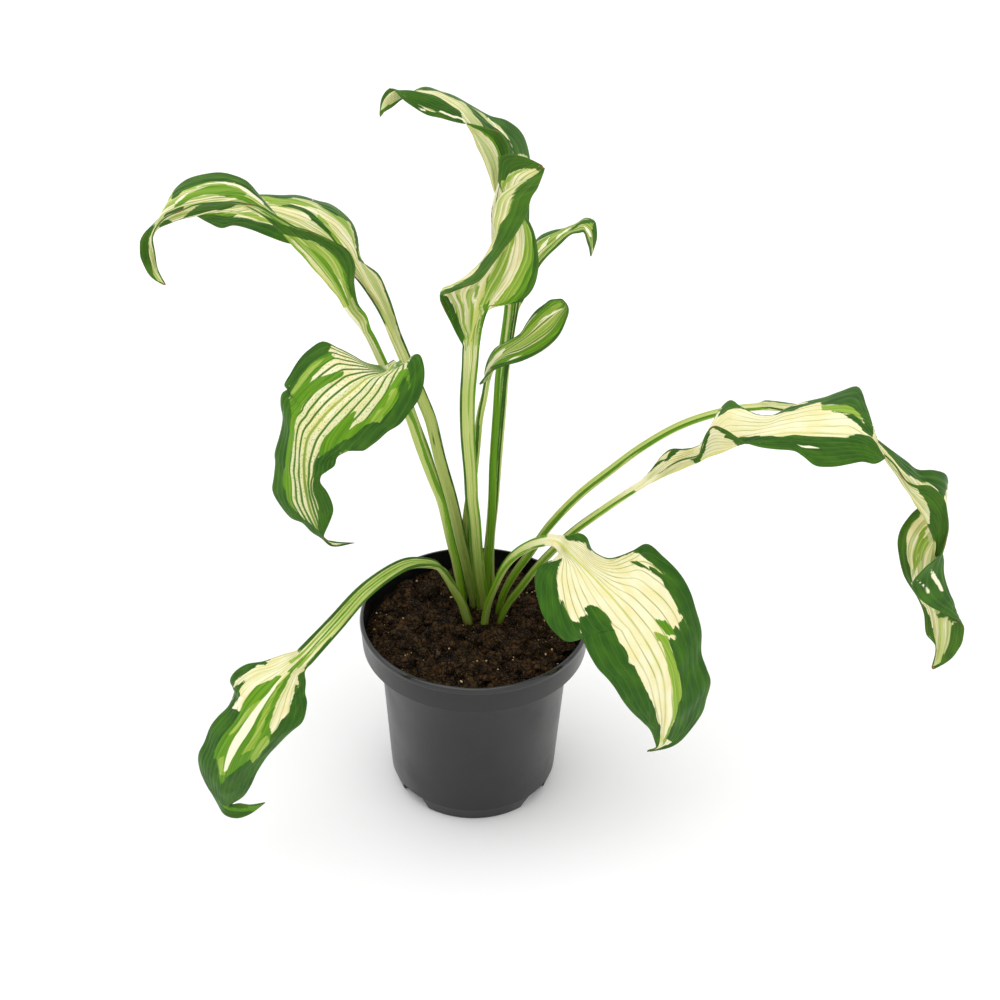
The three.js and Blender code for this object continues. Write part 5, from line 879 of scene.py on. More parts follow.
class Leaf:
    """The middle sheet of one leaf. A place runs 0 to 1 up the stalk and 1 to 2 along the blade."""

    def __init__(self, table):
        self.table = table
        self.stalk = stalk_rows(table["stalk"])
        self.points, self.lengths, self.neck = rib_samples(table["rib"], table["neck"])
        self.blade = self.lengths[-1] - self.neck
        ahead = np.vstack([self.points[1:], self.points[-1:]])
        behind = np.vstack([self.points[:1], self.points[:-1]])
        self.along = unit(ahead - behind)
        face = math.radians(table["face"])
        normal = np.array([math.cos(face), math.sin(face), 0])
        self.normals = np.empty_like(self.along)
        for i, way in enumerate(self.along):
            normal = normal - way * (normal @ way)
            normal /= np.linalg.norm(normal)
            self.normals[i] = normal
        self.sides = [self.side(-1, "left", "fold_left"), self.side(1, "right", "fold_right")]

    def read(self, table, place):
        """A column-wise look at the rib samples for an array of places."""
        length = np.where(place < 1, place * self.neck, self.neck + (place - 1) * self.blade)
        return np.stack([np.interp(length, self.lengths, column) for column in table.T], -1)

    def frames(self, place):
        """The rib's point, its way, and the ways across and up at each place."""
        point = self.read(self.points, place)
        along = unit(self.read(self.along, place))
        normal = self.read(self.normals, place)
        normal = unit(normal - along * np.sum(normal * along, -1, keepdims=True))
        across = np.cross(along, normal)
        turn = (math.radians(self.table["turn"]) * np.minimum(place, 1))[:, None]
        return (
            point, along, across * np.cos(turn) + normal * np.sin(turn),
            normal * np.cos(turn) - across * np.sin(turn),
        )

    def stalk_edge(self, place, side):
        """From the rib to the stalk's edge."""
        _, _, across, normal = self.frames(place)
        width = np.interp(np.minimum(place, 1), self.stalk[:, 0], self.stalk[:, 1])
        lift = np.interp(np.minimum(place, 1), self.stalk[:, 0], self.stalk[:, 2])
        return across * (side * width)[:, None] + normal * lift[:, None]

    def from_rib(self, rows):
        """Each (part, x, y, z) as the way from the rib at that part of the blade."""
        rows = np.array(rows, float)
        return rows[:, 1:] - self.read(self.points, 1 + rows[:, 0])

    def side(self, side, margin, fold):
        """One half of the leaf: its margin, and its fold where it has one."""
        rows = self.table[margin]
        places = [MARGIN_START, 0] + [row[0] for row in rows]
        foot = self.stalk_edge(np.array([1 + MARGIN_START * self.blade / self.neck, 1]), side)
        half = {"side": side, "margin": smooth_curve(places, np.vstack([foot, self.from_rib(rows)]))}
        if fold in self.table:
            rows = self.table[fold]
            half["fold"] = smooth_curve([row[0] for row in rows], self.from_rib(rows))
            half["span"] = (rows[0][0], rows[-1][0])
        return half

    def edge(self, half, place):
        """From the rib to one edge, of the stalk and then of the blade."""
        on_stalk = self.stalk_edge(place, half["side"])
        return np.where((place < 1)[:, None], on_stalk, half["margin"](np.clip(place - 1, 0, 1)))

    def sheet(self, place, across):
        """Points of the sheet, a row for each place and a column for each part across."""
        point, along, _, _ = self.frames(place)
        part = np.clip(place - 1, 0, 1)
        bow = np.interp(place, [row[0] for row in BOW], [row[1] for row in BOW])[:, None]
        sheet = np.repeat(point[:, None, :], len(across), axis=1)
        for half in self.sides:
            edge = self.edge(half, place)
            rise = unit(np.cross(edge * half["side"], along))
            middle = edge * 0.5 + rise * bow * np.linalg.norm(edge, axis=1, keepdims=True)
            if "fold" in half:
                low, high = half["span"]
                inside = np.minimum(part - low + FOLD_EASE, high + FOLD_EASE - part)
                weight = np.clip(inside / FOLD_EASE, 0, 1)
                weight = (weight * (place >= 1))[:, None]
                middle = middle * (1 - weight) + half["fold"](part) * weight
            a = np.abs(across) * (across * half["side"] > 0)
            sheet += edge[:, None, :] * (a * (2 * a - 1))[None, :, None]
            sheet += middle[:, None, :] * (4 * a * (1 - a))[None, :, None]
        return sheet

    def width(self, place):
        """How far the margin lies from the rib on each side."""
        return [np.linalg.norm(self.edge(half, place), axis=1) for half in self.sides]

    def depths(self, place, across):
        """How far the skin stands off the sheet, above and below it."""
        part = np.clip(place - 1, 0, 1)[:, None]
        above = (BLADE_THICKNESS + (TIP_THICKNESS - BLADE_THICKNESS) * part**3) / 2
        above = np.repeat(above, len(across), axis=1)
        centre = np.interp(np.minimum(place, 1), self.stalk[:, 0], self.stalk[:, 3])[:, None]
        below_stalk = above + (centre - 2 * above) * np.maximum(1 - across**2, 0)[None] ** 0.8
        rib = (1 - part) ** 0.7 * np.exp(-((across / RIB_WIDTH) ** 2))[None]
        mix = smooth_step(part, 0, NECK_BLEND)
        return above, below_stalk * (1 - mix) + (above + RIB_DEPTH * rib) * mix


def sheet_normals(sheet):
    """The upward way at each point of a sheet."""
    by_row = np.gradient(sheet, axis=0)
    by_column = np.gradient(sheet, axis=1)
    return unit(np.cross(by_column, by_row))


def leaf_net(leaf):
    """A close net over a leaf: each point's place along and across, and where it shows."""
    place = np.concatenate([
        np.linspace(0, 1, NET_STALK_ROWS, endpoint=False), 1 + np.linspace(0, 1, NET_BLADE_ROWS + 1),
    ])
    across = np.linspace(-1, 1, NET_COLUMNS + 1)
    x, y, far = in_photo(leaf.sheet(place, across).reshape(-1, 3))
    return np.repeat(place - 1, len(across)), np.tile(across, len(place)), x, y, far


def place_on_net(net, x, y, allowed=None):
    """The place on a leaf that shows at one place in the photograph, the front one where it folds."""
    along, across, net_x, net_y, far = net
    gap = np.hypot(net_x - x, net_y - y)
    if allowed is None:
        near = np.flatnonzero(gap < 1)
        if len(near):
            front = near[np.argmin(far[near])]
            layer = near[far[near] < far[front] + LAYER_DEPTH]
            nearest = layer[np.argmin(gap[layer])]
        else:
            nearest = np.argmin(gap)
    else:
        nearest = np.argmin(np.where(allowed, gap, np.inf))
    part = across[nearest]
    return along[nearest], np.sign(part) * PAST_MARGIN if abs(part) > NEAR_MARGIN else part


def on_leaf(net, spots):
    """An outline drawn on the photograph, as (part of the blade, part of the way to the margin).

    Most of its spots say which half of the leaf it is on, and a spot that lands well over on the
    other half goes to the nearest place on its own.
    """
    along, across = net[:2]
    raw = [place_on_net(net, x, y) for x, y in spots]
    side = np.sign(sum(np.sign(v) for _, v in raw)) or 1
    own = [s for s, v in raw if v * side > 0]
    reach = (along > min(own) - STRAY_REACH) & (along < max(own) + STRAY_REACH)
    outline = []
    for (x, y), (s, v) in zip(spots, raw):
        if v * side < -STRAY_PART:
            s, v = place_on_net(net, x, y, (across * side > -RIB_PART) & reach)
        outline.append((round(float(s), 3), round(float(v), 2)))
    return outline


def leaf_outlines(leaf, looks):
    """All of a leaf's markings as outlines in places on the leaf, in the order they were drawn."""
    net = leaf_net(leaf)
    outlines = []
    for crop_x, crop_y, zoom, shapes in looks["drawn"]:
        for kind, spots in shapes:
            in_frame = [(crop_x + x / zoom, crop_y + y / zoom) for x, y in spots]
            outlines.append((kind, on_leaf(net, in_frame)))
    return outlines + looks["placed"]


class Value:
    """A node socket that takes part in sums: each operation on it adds a Math node."""

    def __init__(self, tree, socket):
        self.tree = tree
        self.socket = socket

    def math(self, operation, *others):
        node = self.tree.nodes.new("ShaderNodeMath")
        node.operation = operation
        for socket, value in zip(node.inputs, (self, *others)):
            plug(self.tree, socket, value)
        return Value(self.tree, node.outputs[0])

    def __add__(self, other):
        return self.math("ADD", other)

    __radd__ = __add__

    def __mul__(self, other):
        return self.math("MULTIPLY", other)

    __rmul__ = __mul__

    def __sub__(self, other):
        return self.math("SUBTRACT", other)

    def __rsub__(self, other):
        return self.math("MULTIPLY", -1).math("ADD", other)

    def __truediv__(self, other):
        return self.math("DIVIDE", other)


def plug(tree, socket, value):
    """Links a value to a socket, or sets a plain number or colour on it."""
    if isinstance(value, Value):
        tree.links.new(value.socket, socket)
    else:
        socket.default_value = value


class Finish:
    """A material whose nodes are written as expressions."""

    def __init__(self, name, **constants):
        self.material = bpy.data.materials.new(name)
        self.material.use_nodes = True
        self.tree = self.material.node_tree
        self.surface = self.tree.nodes["Principled BSDF"]
        for socket, value in constants.items():
            self.surface.inputs[socket.replace("_", " ")].default_value = value

    def node(self, kind, inputs=None, settings=None, output=0):
        """One node: its settings first, then its sockets' values or links."""
        node = self.tree.nodes.new("ShaderNode" + kind)
        for key, value in (settings or {}).items():
            setattr(node, key, value)
        for key, value in (inputs or {}).items():
            plug(self.tree, node.inputs[key], value)
        return Value(self.tree, node.outputs[output])

    def number(self, name):
        """A number that the mesh carries at each point."""
        return self.node("Attribute", settings={"attribute_name": name}, output="Fac")

    def vector(self, name):
        """Three numbers that the mesh carries at each point."""
        return self.node("Attribute", settings={"attribute_name": name}, output="Vector")

    def part(self, vector, axis):
        return self.node("SeparateXYZ", {0: vector}, output=axis)

    def join(self, x, y, z):
        return self.node("CombineXYZ", {0: x, 1: y, 2: z})

    def object_place(self):
        """Object coordinates in millimetres."""
        place = self.node("TexCoord", output="Object")
        return self.node("VectorMath", {"Vector": place, "Scale": 1 / MM}, {"operation": "SCALE"})

    def stretched(self, place, x, y, z):
        """A place with its three parts times three numbers."""
        return self.node("VectorMath", {0: place, 1: (x, y, z)}, {"operation": "MULTIPLY"})

    def noise(self, place, scale=1.0, detail=2.0, roughness=0.5, distortion=0.0):
        inputs = {
            "Vector": place, "Scale": scale, "Detail": detail, "Roughness": roughness,
            "Distortion": distortion,
        }
        return self.node("TexNoise", inputs)

    def cells(self, place, scale=1.0, feature="F1", output="Distance"):
        inputs = {"Vector": place, "Scale": scale}
        return self.node("TexVoronoi", inputs, {"feature": feature}, output)

    def between(self, value, low, high, start=0.0, end=1.0):
        """Runs smoothly from start at low to end at high."""
        inputs = {"Value": value, "From Min": low, "From Max": high, "To Min": start, "To Max": end}
        return self.node("MapRange", inputs, {"interpolation_type": "SMOOTHSTEP"})

    def mix(self, factor, first, second):
        """A colour between two colours."""
        settings = {"data_type": "RGBA"}
        return self.node("Mix", {0: factor, 6: first, 7: second}, settings, 2)

    def set(self, **links):
        for socket, value in links.items():
            plug(self.tree, self.surface.inputs[socket.replace("_", " ")], value)

    def bump(self, height, distance, strength=1.0):
        inputs = {"Height": height, "Distance": distance * MM, "Strength": strength}
        self.set(Normal=self.node("Bump", inputs))


def rgb(red, green, blue):
    """A screen colour from 0 to 255 a channel, as Blender's linear colour."""
    linear = []
    for channel in (red, green, blue):
        c = channel / 255
        linear.append(c / 12.92 if c <= 0.04045 else ((c + 0.055) / 1.055) ** 2.4)
    return (*linear, 1)


def leaf_finish(settings):
    """Leaf skin: cream, lime and two greens in bands with torn edges, veins, grain and gloss."""
    f = Finish("leaf skin", Subsurface_Weight=0.06, Subsurface_Scale=0.003, Specular_IOR_Level=0.2)
    place = f.vector("leaf_place")
    along, vein, width = f.part(place, "X"), f.part(place, "Y"), f.part(place, "Z")
    traits = f.vector("leaf_traits")
    seed, veins, specks = f.part(traits, "X"), f.part(traits, "Y"), f.part(traits, "Z")
    under = f.number("underside")
    across = vein * width

    grain = f.noise(f.join(along * 0.035, across * 0.75, seed), 1.0, 3.0, 0.6)
    streaks = f.noise(f.join(along * 0.012, across * 1.5, seed + 7.3))
    clouds = f.noise(f.join(along * 0.09, across * 0.16, seed + 3.1))
    fine = f.noise(f.object_place(), 1.3, 3.0, 0.6)
    torn = (grain - 0.5) * 2.6 + (fine - 0.5) * 0.5

    def zone(name, tear=1.0, soft=0.22):
        return f.between(f.number(name) + torn * tear, -soft, soft)

    ripple = (vein * settings.vein_count).math("PINGPONG", 0.5) * width / settings.vein_count
    on_vein = f.between(ripple, veins * 0.3, veins * 0.75 + 0.22, 1.0, 0.0)
    on_blade = f.between(along, -10.0, 6.0)
    vein_line = on_vein * on_blade * f.between(width, 2.0, 7.0)

    cream = f.mix(f.between(clouds, 0.3, 0.75), rgb(243, 237, 200), rgb(236, 226, 168))
    ground = f.mix(f.between(streaks, 0.5, 0.78, 0.0, 0.35), cream, rgb(204, 210, 118))
    lines = f.noise(f.join(along * 0.008, vein * 5.5, seed + 11.2), 1.0, 3.0, 0.6)
    striped = f.between(lines, 0.46, 0.53) * f.number("stripes")
    threads = f.noise(f.join(along * 0.005, vein * 15.0, seed + 19.4))
    threads = f.between(threads, 0.53, 0.64) * f.number("stripes")
    ground = f.mix(striped, ground, f.mix(clouds, rgb(134, 168, 56), rgb(170, 194, 96)))
    faint = f.between(f.noise(f.join(along * 0.05, vein * 2.1, seed)), 0.4, 0.62)
    drawn = vein_line * (veins + (1.0 - veins) * faint)
    line_colour = f.mix(veins, rgb(186, 190, 92), rgb(66, 112, 14))
    ground = f.mix(drawn * f.between(veins, 0.0, 0.9, 0.5, 1.0), ground, line_colour)
    from_rib = (across * across).math("SQRT")
    rib = f.between(from_rib, 0.4, 1.5, 1.0, 0.0) * f.between(along, 10.0, 95.0, 0.8, 0.25)
    ground = f.mix(rib * on_blade, ground, rgb(196, 202, 92))
    dots = f.noise(f.join(along * 0.9, across * 1.6, seed), 1.0, 2.0, 0.55)
    ground = f.mix(f.between(dots, 0.57, 0.66) * specks, ground, rgb(122, 152, 62))
    lime = f.mix(f.between(grain, 0.3, 0.75), rgb(146, 176, 58), rgb(112, 154, 34))
    # Painted highlight and the leaf's own streaking: lighter streaks along the lime
    lime = f.mix(f.between(streaks, 0.5, 0.72, 0.0, 0.6), lime, rgb(184, 202, 104))
    lime = f.mix(threads * 0.65, lime, rgb(220, 224, 150))
    mid = f.mix(f.between(streaks, 0.35, 0.7), rgb(72, 126, 4), rgb(106, 154, 20))
    mid = f.mix(threads * 0.35, mid, rgb(160, 188, 74))
    dark = f.mix(f.between(clouds, 0.3, 0.8), rgb(34, 80, 2), rgb(56, 104, 6))
    # Painted highlight and the leaf's own streaking: lighter streaks along the dark green
    dark = f.mix(f.between(streaks, 0.55, 0.8, 0.0, 0.45), dark, rgb(80, 124, 20))
    dark = f.mix(threads * 0.25, dark, rgb(98, 140, 40))
    dark = f.mix(vein_line * 0.2, dark, rgb(88, 134, 34))

    height = f.part(f.object_place(), "Z")
    foot = f.between(height, 108.0, 190.0, 1.0, 0.0) * f.between(along, -45.0, -15.0, 1.0, 0.0)
    earthy = f.between(height + (streaks - 0.5) * 8.0, 102.0, 113.0, 0.75, 0.0) * foot
    stalk = f.mix(streaks, rgb(212, 220, 134), rgb(142, 170, 50))
    stalk = f.mix(foot * 0.85, stalk, rgb(92, 114, 8))
    ground = f.mix(f.between(along, -30.0, 2.0, 0.8, 0.0), ground, stalk)
    colour = f.mix(zone("band_mid"), ground, mid)
    colour = f.mix(zone("band_lime"), colour, lime)
    colour = f.mix(zone("band_dark"), colour, dark)
    white = f.mix(streaks, rgb(247, 245, 226), rgb(238, 234, 186))
    colour = f.mix(zone("band_white", 0.3), colour, white)
    paler = f.mix(0.04, colour, rgb(146, 168, 84))
    colour = f.mix(under, colour, paler)
    colour = f.mix(foot * 0.55, colour, rgb(92, 120, 2))
    colour = f.mix(earthy, colour, rgb(84, 62, 26))
    dry = f.number("dry") + (grain - 0.5) * 1.6
    colour = f.mix(f.between(dry, -0.25, 0.35), colour, rgb(124, 94, 50))
    f.set(Base_Color=colour)

    dull = settings.leaf_roughness
    gloss = f.between(grain, 0.2, 0.8, dull - 0.05, dull + 0.08)
    f.set(Roughness=gloss + under * 0.14)
    f.bump(streaks * 0.5 + fine * 0.35 - vein_line * 0.6 + clouds, 0.16, 0.7)
    return f.material


def pot_finish(settings):
    """Moulded plastic: charcoal with a satin sheen, faint mould grain, rubs and dust."""
    f = Finish("pot plastic", Specular_IOR_Level=0.4)
    place = f.object_place()
    height = f.part(place, "Z")
    grain = f.noise(place, 2.2, 3.0, 0.6)
    clouds = f.noise(place, 0.03, 3.0, 0.55)
    flow = f.noise(f.stretched(place, 0.25, 0.25, 0.02), 1.0, 3.0, 0.5)
    rubs = f.noise(f.stretched(place, 0.5, 0.5, 3.0), 1.0, 4.0, 0.7)
    marks = f.between(rubs, 0.66, 0.8) * f.between(height, 96.0, 104.0)
    body = f.mix(f.between(clouds, 0.3, 0.7), settings.pot_colour, rgb(20, 20, 21))
    body = f.mix(f.between(flow, 0.5, 0.8, 0.0, 0.25), body, rgb(28, 28, 29))
    body = f.mix(marks * 0.4, body, rgb(110, 112, 114))
    dust = f.between(f.noise(place, 0.9, 2.0, 0.5), 0.72, 0.82) * 0.15
    body = f.mix(dust, body, rgb(84, 80, 72))
    f.set(Base_Color=body)
    lip = f.between(height, 111.5, 113.6)
    rough = f.between(clouds + (grain - 0.5) * 0.3, 0.3, 0.8, 0.3, 0.44) + marks * 0.1
    f.set(Roughness=rough - lip * 0.16, Coat_Weight=lip * 0.5)
    f.bump(grain * 0.3 + clouds * 2.0 + flow * 0.5, 0.12, 0.5)
    return f.material


def soil_finish():
    """Moist compost with painted light and shade: near black in its hollows, cracks and under its lumps,
    lighter on its raised tops, with painted highlight flecks, fibres and grit.
    """
    f = Finish("compost", Specular_IOR_Level=0.15)
    place = f.object_place()
    lumps = f.noise(place, 0.22, 4.0, 0.6)
    crumbs = f.cells(place, 1.1)
    fine = f.noise(place, 1.1, 5.0, 0.7)
    strands = f.noise(f.stretched(place, 0.5, 2.6, 1.2), 1.0, 3.0, 0.6, 1.5)
    # Painted shade and light: low points (hollows and lump undersides) go near black, and raised tops go
    # lighter brown
    relief = f.number("relief") + (lumps - 0.5) * 3.0
    colour = f.mix(f.between(relief, 1.2, 4.4), rgb(9, 6, 3), rgb(96, 68, 36))
    chunk = f.cells(place, 0.3, output="Color")
    cracks = f.cells(place, 0.3, "DISTANCE_TO_EDGE")
    colour = f.mix(f.between(chunk, 0.3, 0.7, 0.0, 0.8), colour, rgb(22, 15, 8))
    # Painted shade: cell edges are darkened near black, as shadow down the cracks between crumbs
    colour = f.mix(f.between(cracks, 0.0, 0.2, 0.95, 0.0), colour, rgb(6, 4, 2))
    # Painted highlight: pale flecks over the compost stand in for glints on its moist crumbs
    colour = f.mix(f.between(fine, 0.54, 0.66, 0.0, 0.85), colour, rgb(136, 100, 56))
    colour = f.mix(f.between(strands, 0.66, 0.76, 0.0, 0.6), colour, rgb(134, 104, 62))
    grit = f.noise(place, 1.7, 1.0, 0.4)
    colour = f.mix(f.between(grit, 0.76, 0.8), colour, rgb(190, 160, 112))
    f.set(Base_Color=colour)
    f.set(Roughness=f.between(fine, 0.3, 0.7, 0.78, 0.95))
    f.bump(fine * 0.9 - crumbs * 0.7 + strands * 0.7 + cracks * 2.2, 1.6, 1.0)
    return f.material


def grain_finish(name, first, second, scale, roughness):
    """Small loose matter: two tones and a fibrous surface."""
    f = Finish(name, Specular_IOR_Level=0.35)
    place = f.object_place()
    tone = f.noise(place, scale, 3.0, 0.6)
    fine = f.noise(place, scale * 6, 3.0, 0.6)
    f.set(Base_Color=f.mix(f.between(tone + (fine - 0.5) * 0.4, 0.3, 0.7), first, second))
    f.set(Roughness=f.between(fine, 0.3, 0.7, roughness - 0.08, roughness + 0.05))
    f.bump(fine, 0.25, 0.8)
    return f.material


def floor_finish(settings):
    """A plain pale studio floor."""
    f = Finish("studio floor", Specular_IOR_Level=0.2)
    tone = f.noise(f.object_place(), 0.01, 2.0, 0.5)
    f.set(Base_Color=settings.floor_colour)
    f.set(Roughness=f.between(tone, 0.3, 0.7, 0.7, 0.8))
    return f.material


def deselect():
    """Leaves nothing selected and object mode on."""
    if bpy.context.object and bpy.context.object.mode != "OBJECT":
        bpy.ops.object.mode_set(mode="OBJECT")
    bpy.ops.object.select_all(action="DESELECT")


def pick(piece):
    """Makes a piece the only one selected."""
    deselect()
    piece.select_set(True)
    bpy.context.view_layer.objects.active = piece


def draw(seed):
    """A seeded draw from 0 to 1, the same one as the solid soil's clods come from."""
    state = seed

    def next_value():
        nonlocal state
        state = (state * 48271) % 2147483647
        return state / 2147483647

    return next_value


def set_points(piece, points):
    """Gives a mesh new places for its vertices, in millimetres."""
    piece.data.vertices.foreach_set("co", (np.asarray(points) * MM).astype(np.float32).ravel())
    piece.data.update()


def get_points(piece):
    """A mesh's vertices, as they are."""
    points = np.empty(len(piece.data.vertices) * 3, np.float32)
    piece.data.vertices.foreach_get("co", points)
    return points.reshape(-1, 3).astype(float)


def carry(piece, name, values, kind="FLOAT"):
    """Stores a number or three at each vertex, for the material."""
    layer = piece.data.attributes.new(name, kind, "POINT")
    key = "value" if kind == "FLOAT" else "vector"
    layer.data.foreach_set(key, np.asarray(values, np.float32).ravel())


def fresh(piece, name):
    """Names a new piece and applies where it was added."""
    piece.name = name
    piece.data.name = name
    bpy.ops.object.transform_apply(location=True, rotation=True, scale=True)
    return piece


def outward(piece):
    """Joins doubled points and turns all faces outwards."""
    pick(piece)
    bpy.ops.object.mode_set(mode="EDIT")
    bpy.ops.mesh.select_all(action="SELECT")
    bpy.ops.mesh.remove_doubles(threshold=0.00002)
    bpy.ops.mesh.normals_make_consistent(inside=False)
    bpy.ops.object.mode_set(mode="OBJECT")


def turned_piece(name, line, sides):
    """A turned solid: a disc drawn out ring by ring along a line of (radius, height)."""
    deselect()
    radius, height = line[0]
    bpy.ops.mesh.primitive_circle_add(
        vertices=sides, radius=radius * MM, fill_type="NGON", location=(0, 0, height * MM)
    )
    piece = fresh(bpy.context.object, name)
    bpy.ops.object.mode_set(mode="EDIT")
    bpy.ops.mesh.select_all(action="SELECT")
    for (r0, z0), (r1, z1) in zip(line, line[1:]):
        bpy.ops.mesh.extrude_region_move(
            TRANSFORM_OT_translate={"value": (0, 0, (z1 - z0) * MM)}
        )
        bpy.ops.transform.resize(value=(r1 / r0, r1 / r0, 1), center_override=(0, 0, 0))
    bpy.ops.object.mode_set(mode="OBJECT")
    outward(piece)
    return piece


def cut(piece, tool, operation="DIFFERENCE"):
    """Cuts one piece with another and clears the tool away."""
    pick(piece)
    change = piece.modifiers.new("cut", "BOOLEAN")
    change.operation = operation
    change.solver = "EXACT"
    change.object = tool
    bpy.ops.object.modifier_apply(modifier=change.name)
    bpy.data.objects.remove(tool, do_unlink=True)


def joined(pieces, name):
    """Several objects as one."""
    pick(pieces[0])
    for piece in pieces[1:]:
        piece.select_set(True)
    bpy.ops.object.join()
    bpy.context.object.name = name
    bpy.context.object.data.name = name
    return bpy.context.object


def notch_wedges(grow):
    """The four wedges that cut the notches: wide at the foot and narrow at the top."""
    wedges = []
    inner, outer = NOTCH_INNER_RADIUS - grow, NOTCH_OUTER_RADIUS
    grow_angle = math.degrees(1.2 * grow / NOTCH_INNER_RADIUS)
    for place in NOTCH_PLACES:
        deselect()
        bpy.ops.mesh.primitive_cube_add(size=2)
        wedge = fresh(bpy.context.object, "wedge")
        points = []
        for x, y, z in get_points(wedge):
            radius = outer if x > 0 else inner
            level = NOTCH_HEIGHT + grow if z > 0 else -NOTCH_SLACK
            width = NOTCH_FOOT_WIDTH + (NOTCH_TOP_WIDTH - NOTCH_FOOT_WIDTH) * level / NOTCH_HEIGHT
            angle = math.radians(place - 90 + math.copysign(width / 2 + grow_angle, y))
            points.append((radius * math.cos(angle), radius * math.sin(angle), level))
        set_points(wedge, points)
        outward(wedge)
        wedges.append(wedge)
    return joined(wedges, "wedges")


def drain_cutters():
    """Rods that cut the drain holes through the roofs of the notches."""
    reach = (NOTCH_INNER_RADIUS + BASE_RADIUS) / 2
    rods = []
    for place in NOTCH_PLACES:
        angle = math.radians(place - 90)
        deselect()
        bpy.ops.mesh.primitive_cylinder_add(
            vertices=DRAIN_SIDES, radius=DRAIN_RADIUS * MM, depth=DRAIN_CUT * MM,
            location=(reach * math.cos(angle) * MM, reach * math.sin(angle) * MM, DRAIN_LEVEL * MM),
        )
        rods.append(fresh(bpy.context.object, "rod"))
    return joined(rods, "rods")


def finish_piece(piece, material, nodes=(), smooth=35):
    """Gives a piece its finish and its place in the frame."""
    piece.data.materials.clear()
    piece.data.materials.append(material)
    pick(piece)
    bpy.ops.object.shade_smooth_by_angle(angle=math.radians(smooth))
    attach(piece, "root")
    if nodes:
        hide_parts(*nodes)
    deselect()


def clod_field(seed, count, spread, least, more, low, high):
    """Seeded lumps as rows of x, y, size and height."""
    take = draw(seed)
    rows = []
    for _ in range(count):
        angle = take() * 2 * math.pi
        radius = spread * math.sqrt(take())
        size = least + more * take()
        height = size * (low + high * take())
        rows.append((radius * math.cos(angle), radius * math.sin(angle), size, height))
    return np.array(rows)


CLODS = clod_field(seed=7, count=150, spread=RIM_RADIUS, least=4, more=5, low=0.25, high=0.3)
CRUMBS = clod_field(
    seed=11, count=1500, spread=RIM_RADIUS, least=1.3, more=2.3, low=0.35, high=0.4
)


def raised(x, y, lumps, power):
    """The highest of the lumps over each point."""
    centre_x, centre_y, size, height = lumps.T
    top = np.zeros_like(x)
    for start in range(0, len(x), 400):
        block = slice(start, start + 400)
        away = (x[block, None] - centre_x) ** 2 + (y[block, None] - centre_y) ** 2
        top[block] = (height * np.maximum(1 - away / size**2, 0) ** power).max(1)
    return top


def soil_layers(x, y):
    """The top of the compost: a low heap, and the clods and crumbs on it."""
    x, y = np.atleast_1d(x).astype(float), np.atleast_1d(y).astype(float)
    far = np.hypot(x, y) / RIM_RADIUS
    heap = SOIL_HEAP * np.maximum(1 - far**2, 0)
    clods = raised(x, y, CLODS, 0.45)
    crumbs = raised(x, y, CRUMBS, 0.6)
    ripple = np.sin(x * 1.9 + 1.3 * np.sin(y * 1.1)) * np.sin(y * 1.7 + 0.9 * np.sin(x * 1.3))
    ripple = RIPPLE * ripple
    return SOIL_EDGE_LEVEL - SOIL_DROP + heap, clods * CLOD_SHARE + crumbs * CRUMB_SHARE + ripple


def soil_level(x, y):
    """The height of the compost's top."""
    base, relief = soil_layers(x, y)
    return base + relief


class HostaSettings(bpy.types.PropertyGroup):
    """Sizes and colours that a user would change."""

    pot_sides: IntProperty(
        name="Pot sides", description="How many faces go round the pot", default=160, min=24, max=256
    )
    pot_colour: FloatVectorProperty(
        name="Pot colour", description="Main colour of the pot's plastic", subtype="COLOR", size=4,
        default=rgb(13, 13, 14), min=0, max=1,
    )
    soil_sides: IntProperty(
        name="Soil sides", description="How many faces go round the compost", default=288, min=36, max=360
    )
    soil_step: FloatProperty(
        name="Soil step", description="Distance between rings of the compost's top",
        default=0.8 * MM, min=0.5 * MM, max=4 * MM, unit="LENGTH",
    )
    blade_step: FloatProperty(
        name="Leaf step", description="Distance between rows along a leaf",
        default=1.3 * MM, min=0.8 * MM, max=8 * MM, unit="LENGTH",
    )
    blade_columns: IntProperty(
        name="Leaf columns", description="Faces across each half of a leaf", default=30, min=3, max=60
    )
    vein_count: IntProperty(
        name="Veins", description="Veins on each half of a leaf", default=7, min=3, max=12
    )
    vein_relief: FloatProperty(
        name="Vein relief", description="How deep the leaf is furrowed along its veins",
        default=0.3 * MM, min=0, max=1 * MM, unit="LENGTH",
    )
    leaf_roughness: FloatProperty(
        name="Leaf roughness", description="How dull the upper side of a leaf is",
        default=0.42, min=0, max=1, subtype="FACTOR",
    )
    floor_colour: FloatVectorProperty(
        name="Floor colour", description="Colour of the studio floor", subtype="COLOR", size=4,
        default=rgb(250, 250, 250), min=0, max=1,
    )
    light_power: FloatProperty(
        name="Key light", description="Power of the main soft light", default=0.75, min=0
    )


class HOSTA_OT_pot(bpy.types.Operator):
    """Turns the nursery pot and cuts its notches and drain holes"""

    bl_idname = "hosta.pot"
    bl_label = "Pot"

    def execute(self, context):
        settings = context.scene.hosta
        pot = turned_piece("nursery_pot", POT_OUTSIDE, settings.pot_sides)
        line = list(reversed(POT_INSIDE)) + [POT_MOUTH]
        space = turned_piece("space", line, settings.pot_sides)
        cut(space, notch_wedges(COLLAR_WALL))
        cut(pot, space)
        cut(pot, notch_wedges(0))
        cut(pot, drain_cutters())
        finish_piece(pot, pot_finish(settings), ["pot"], 30)
        return {"FINISHED"}


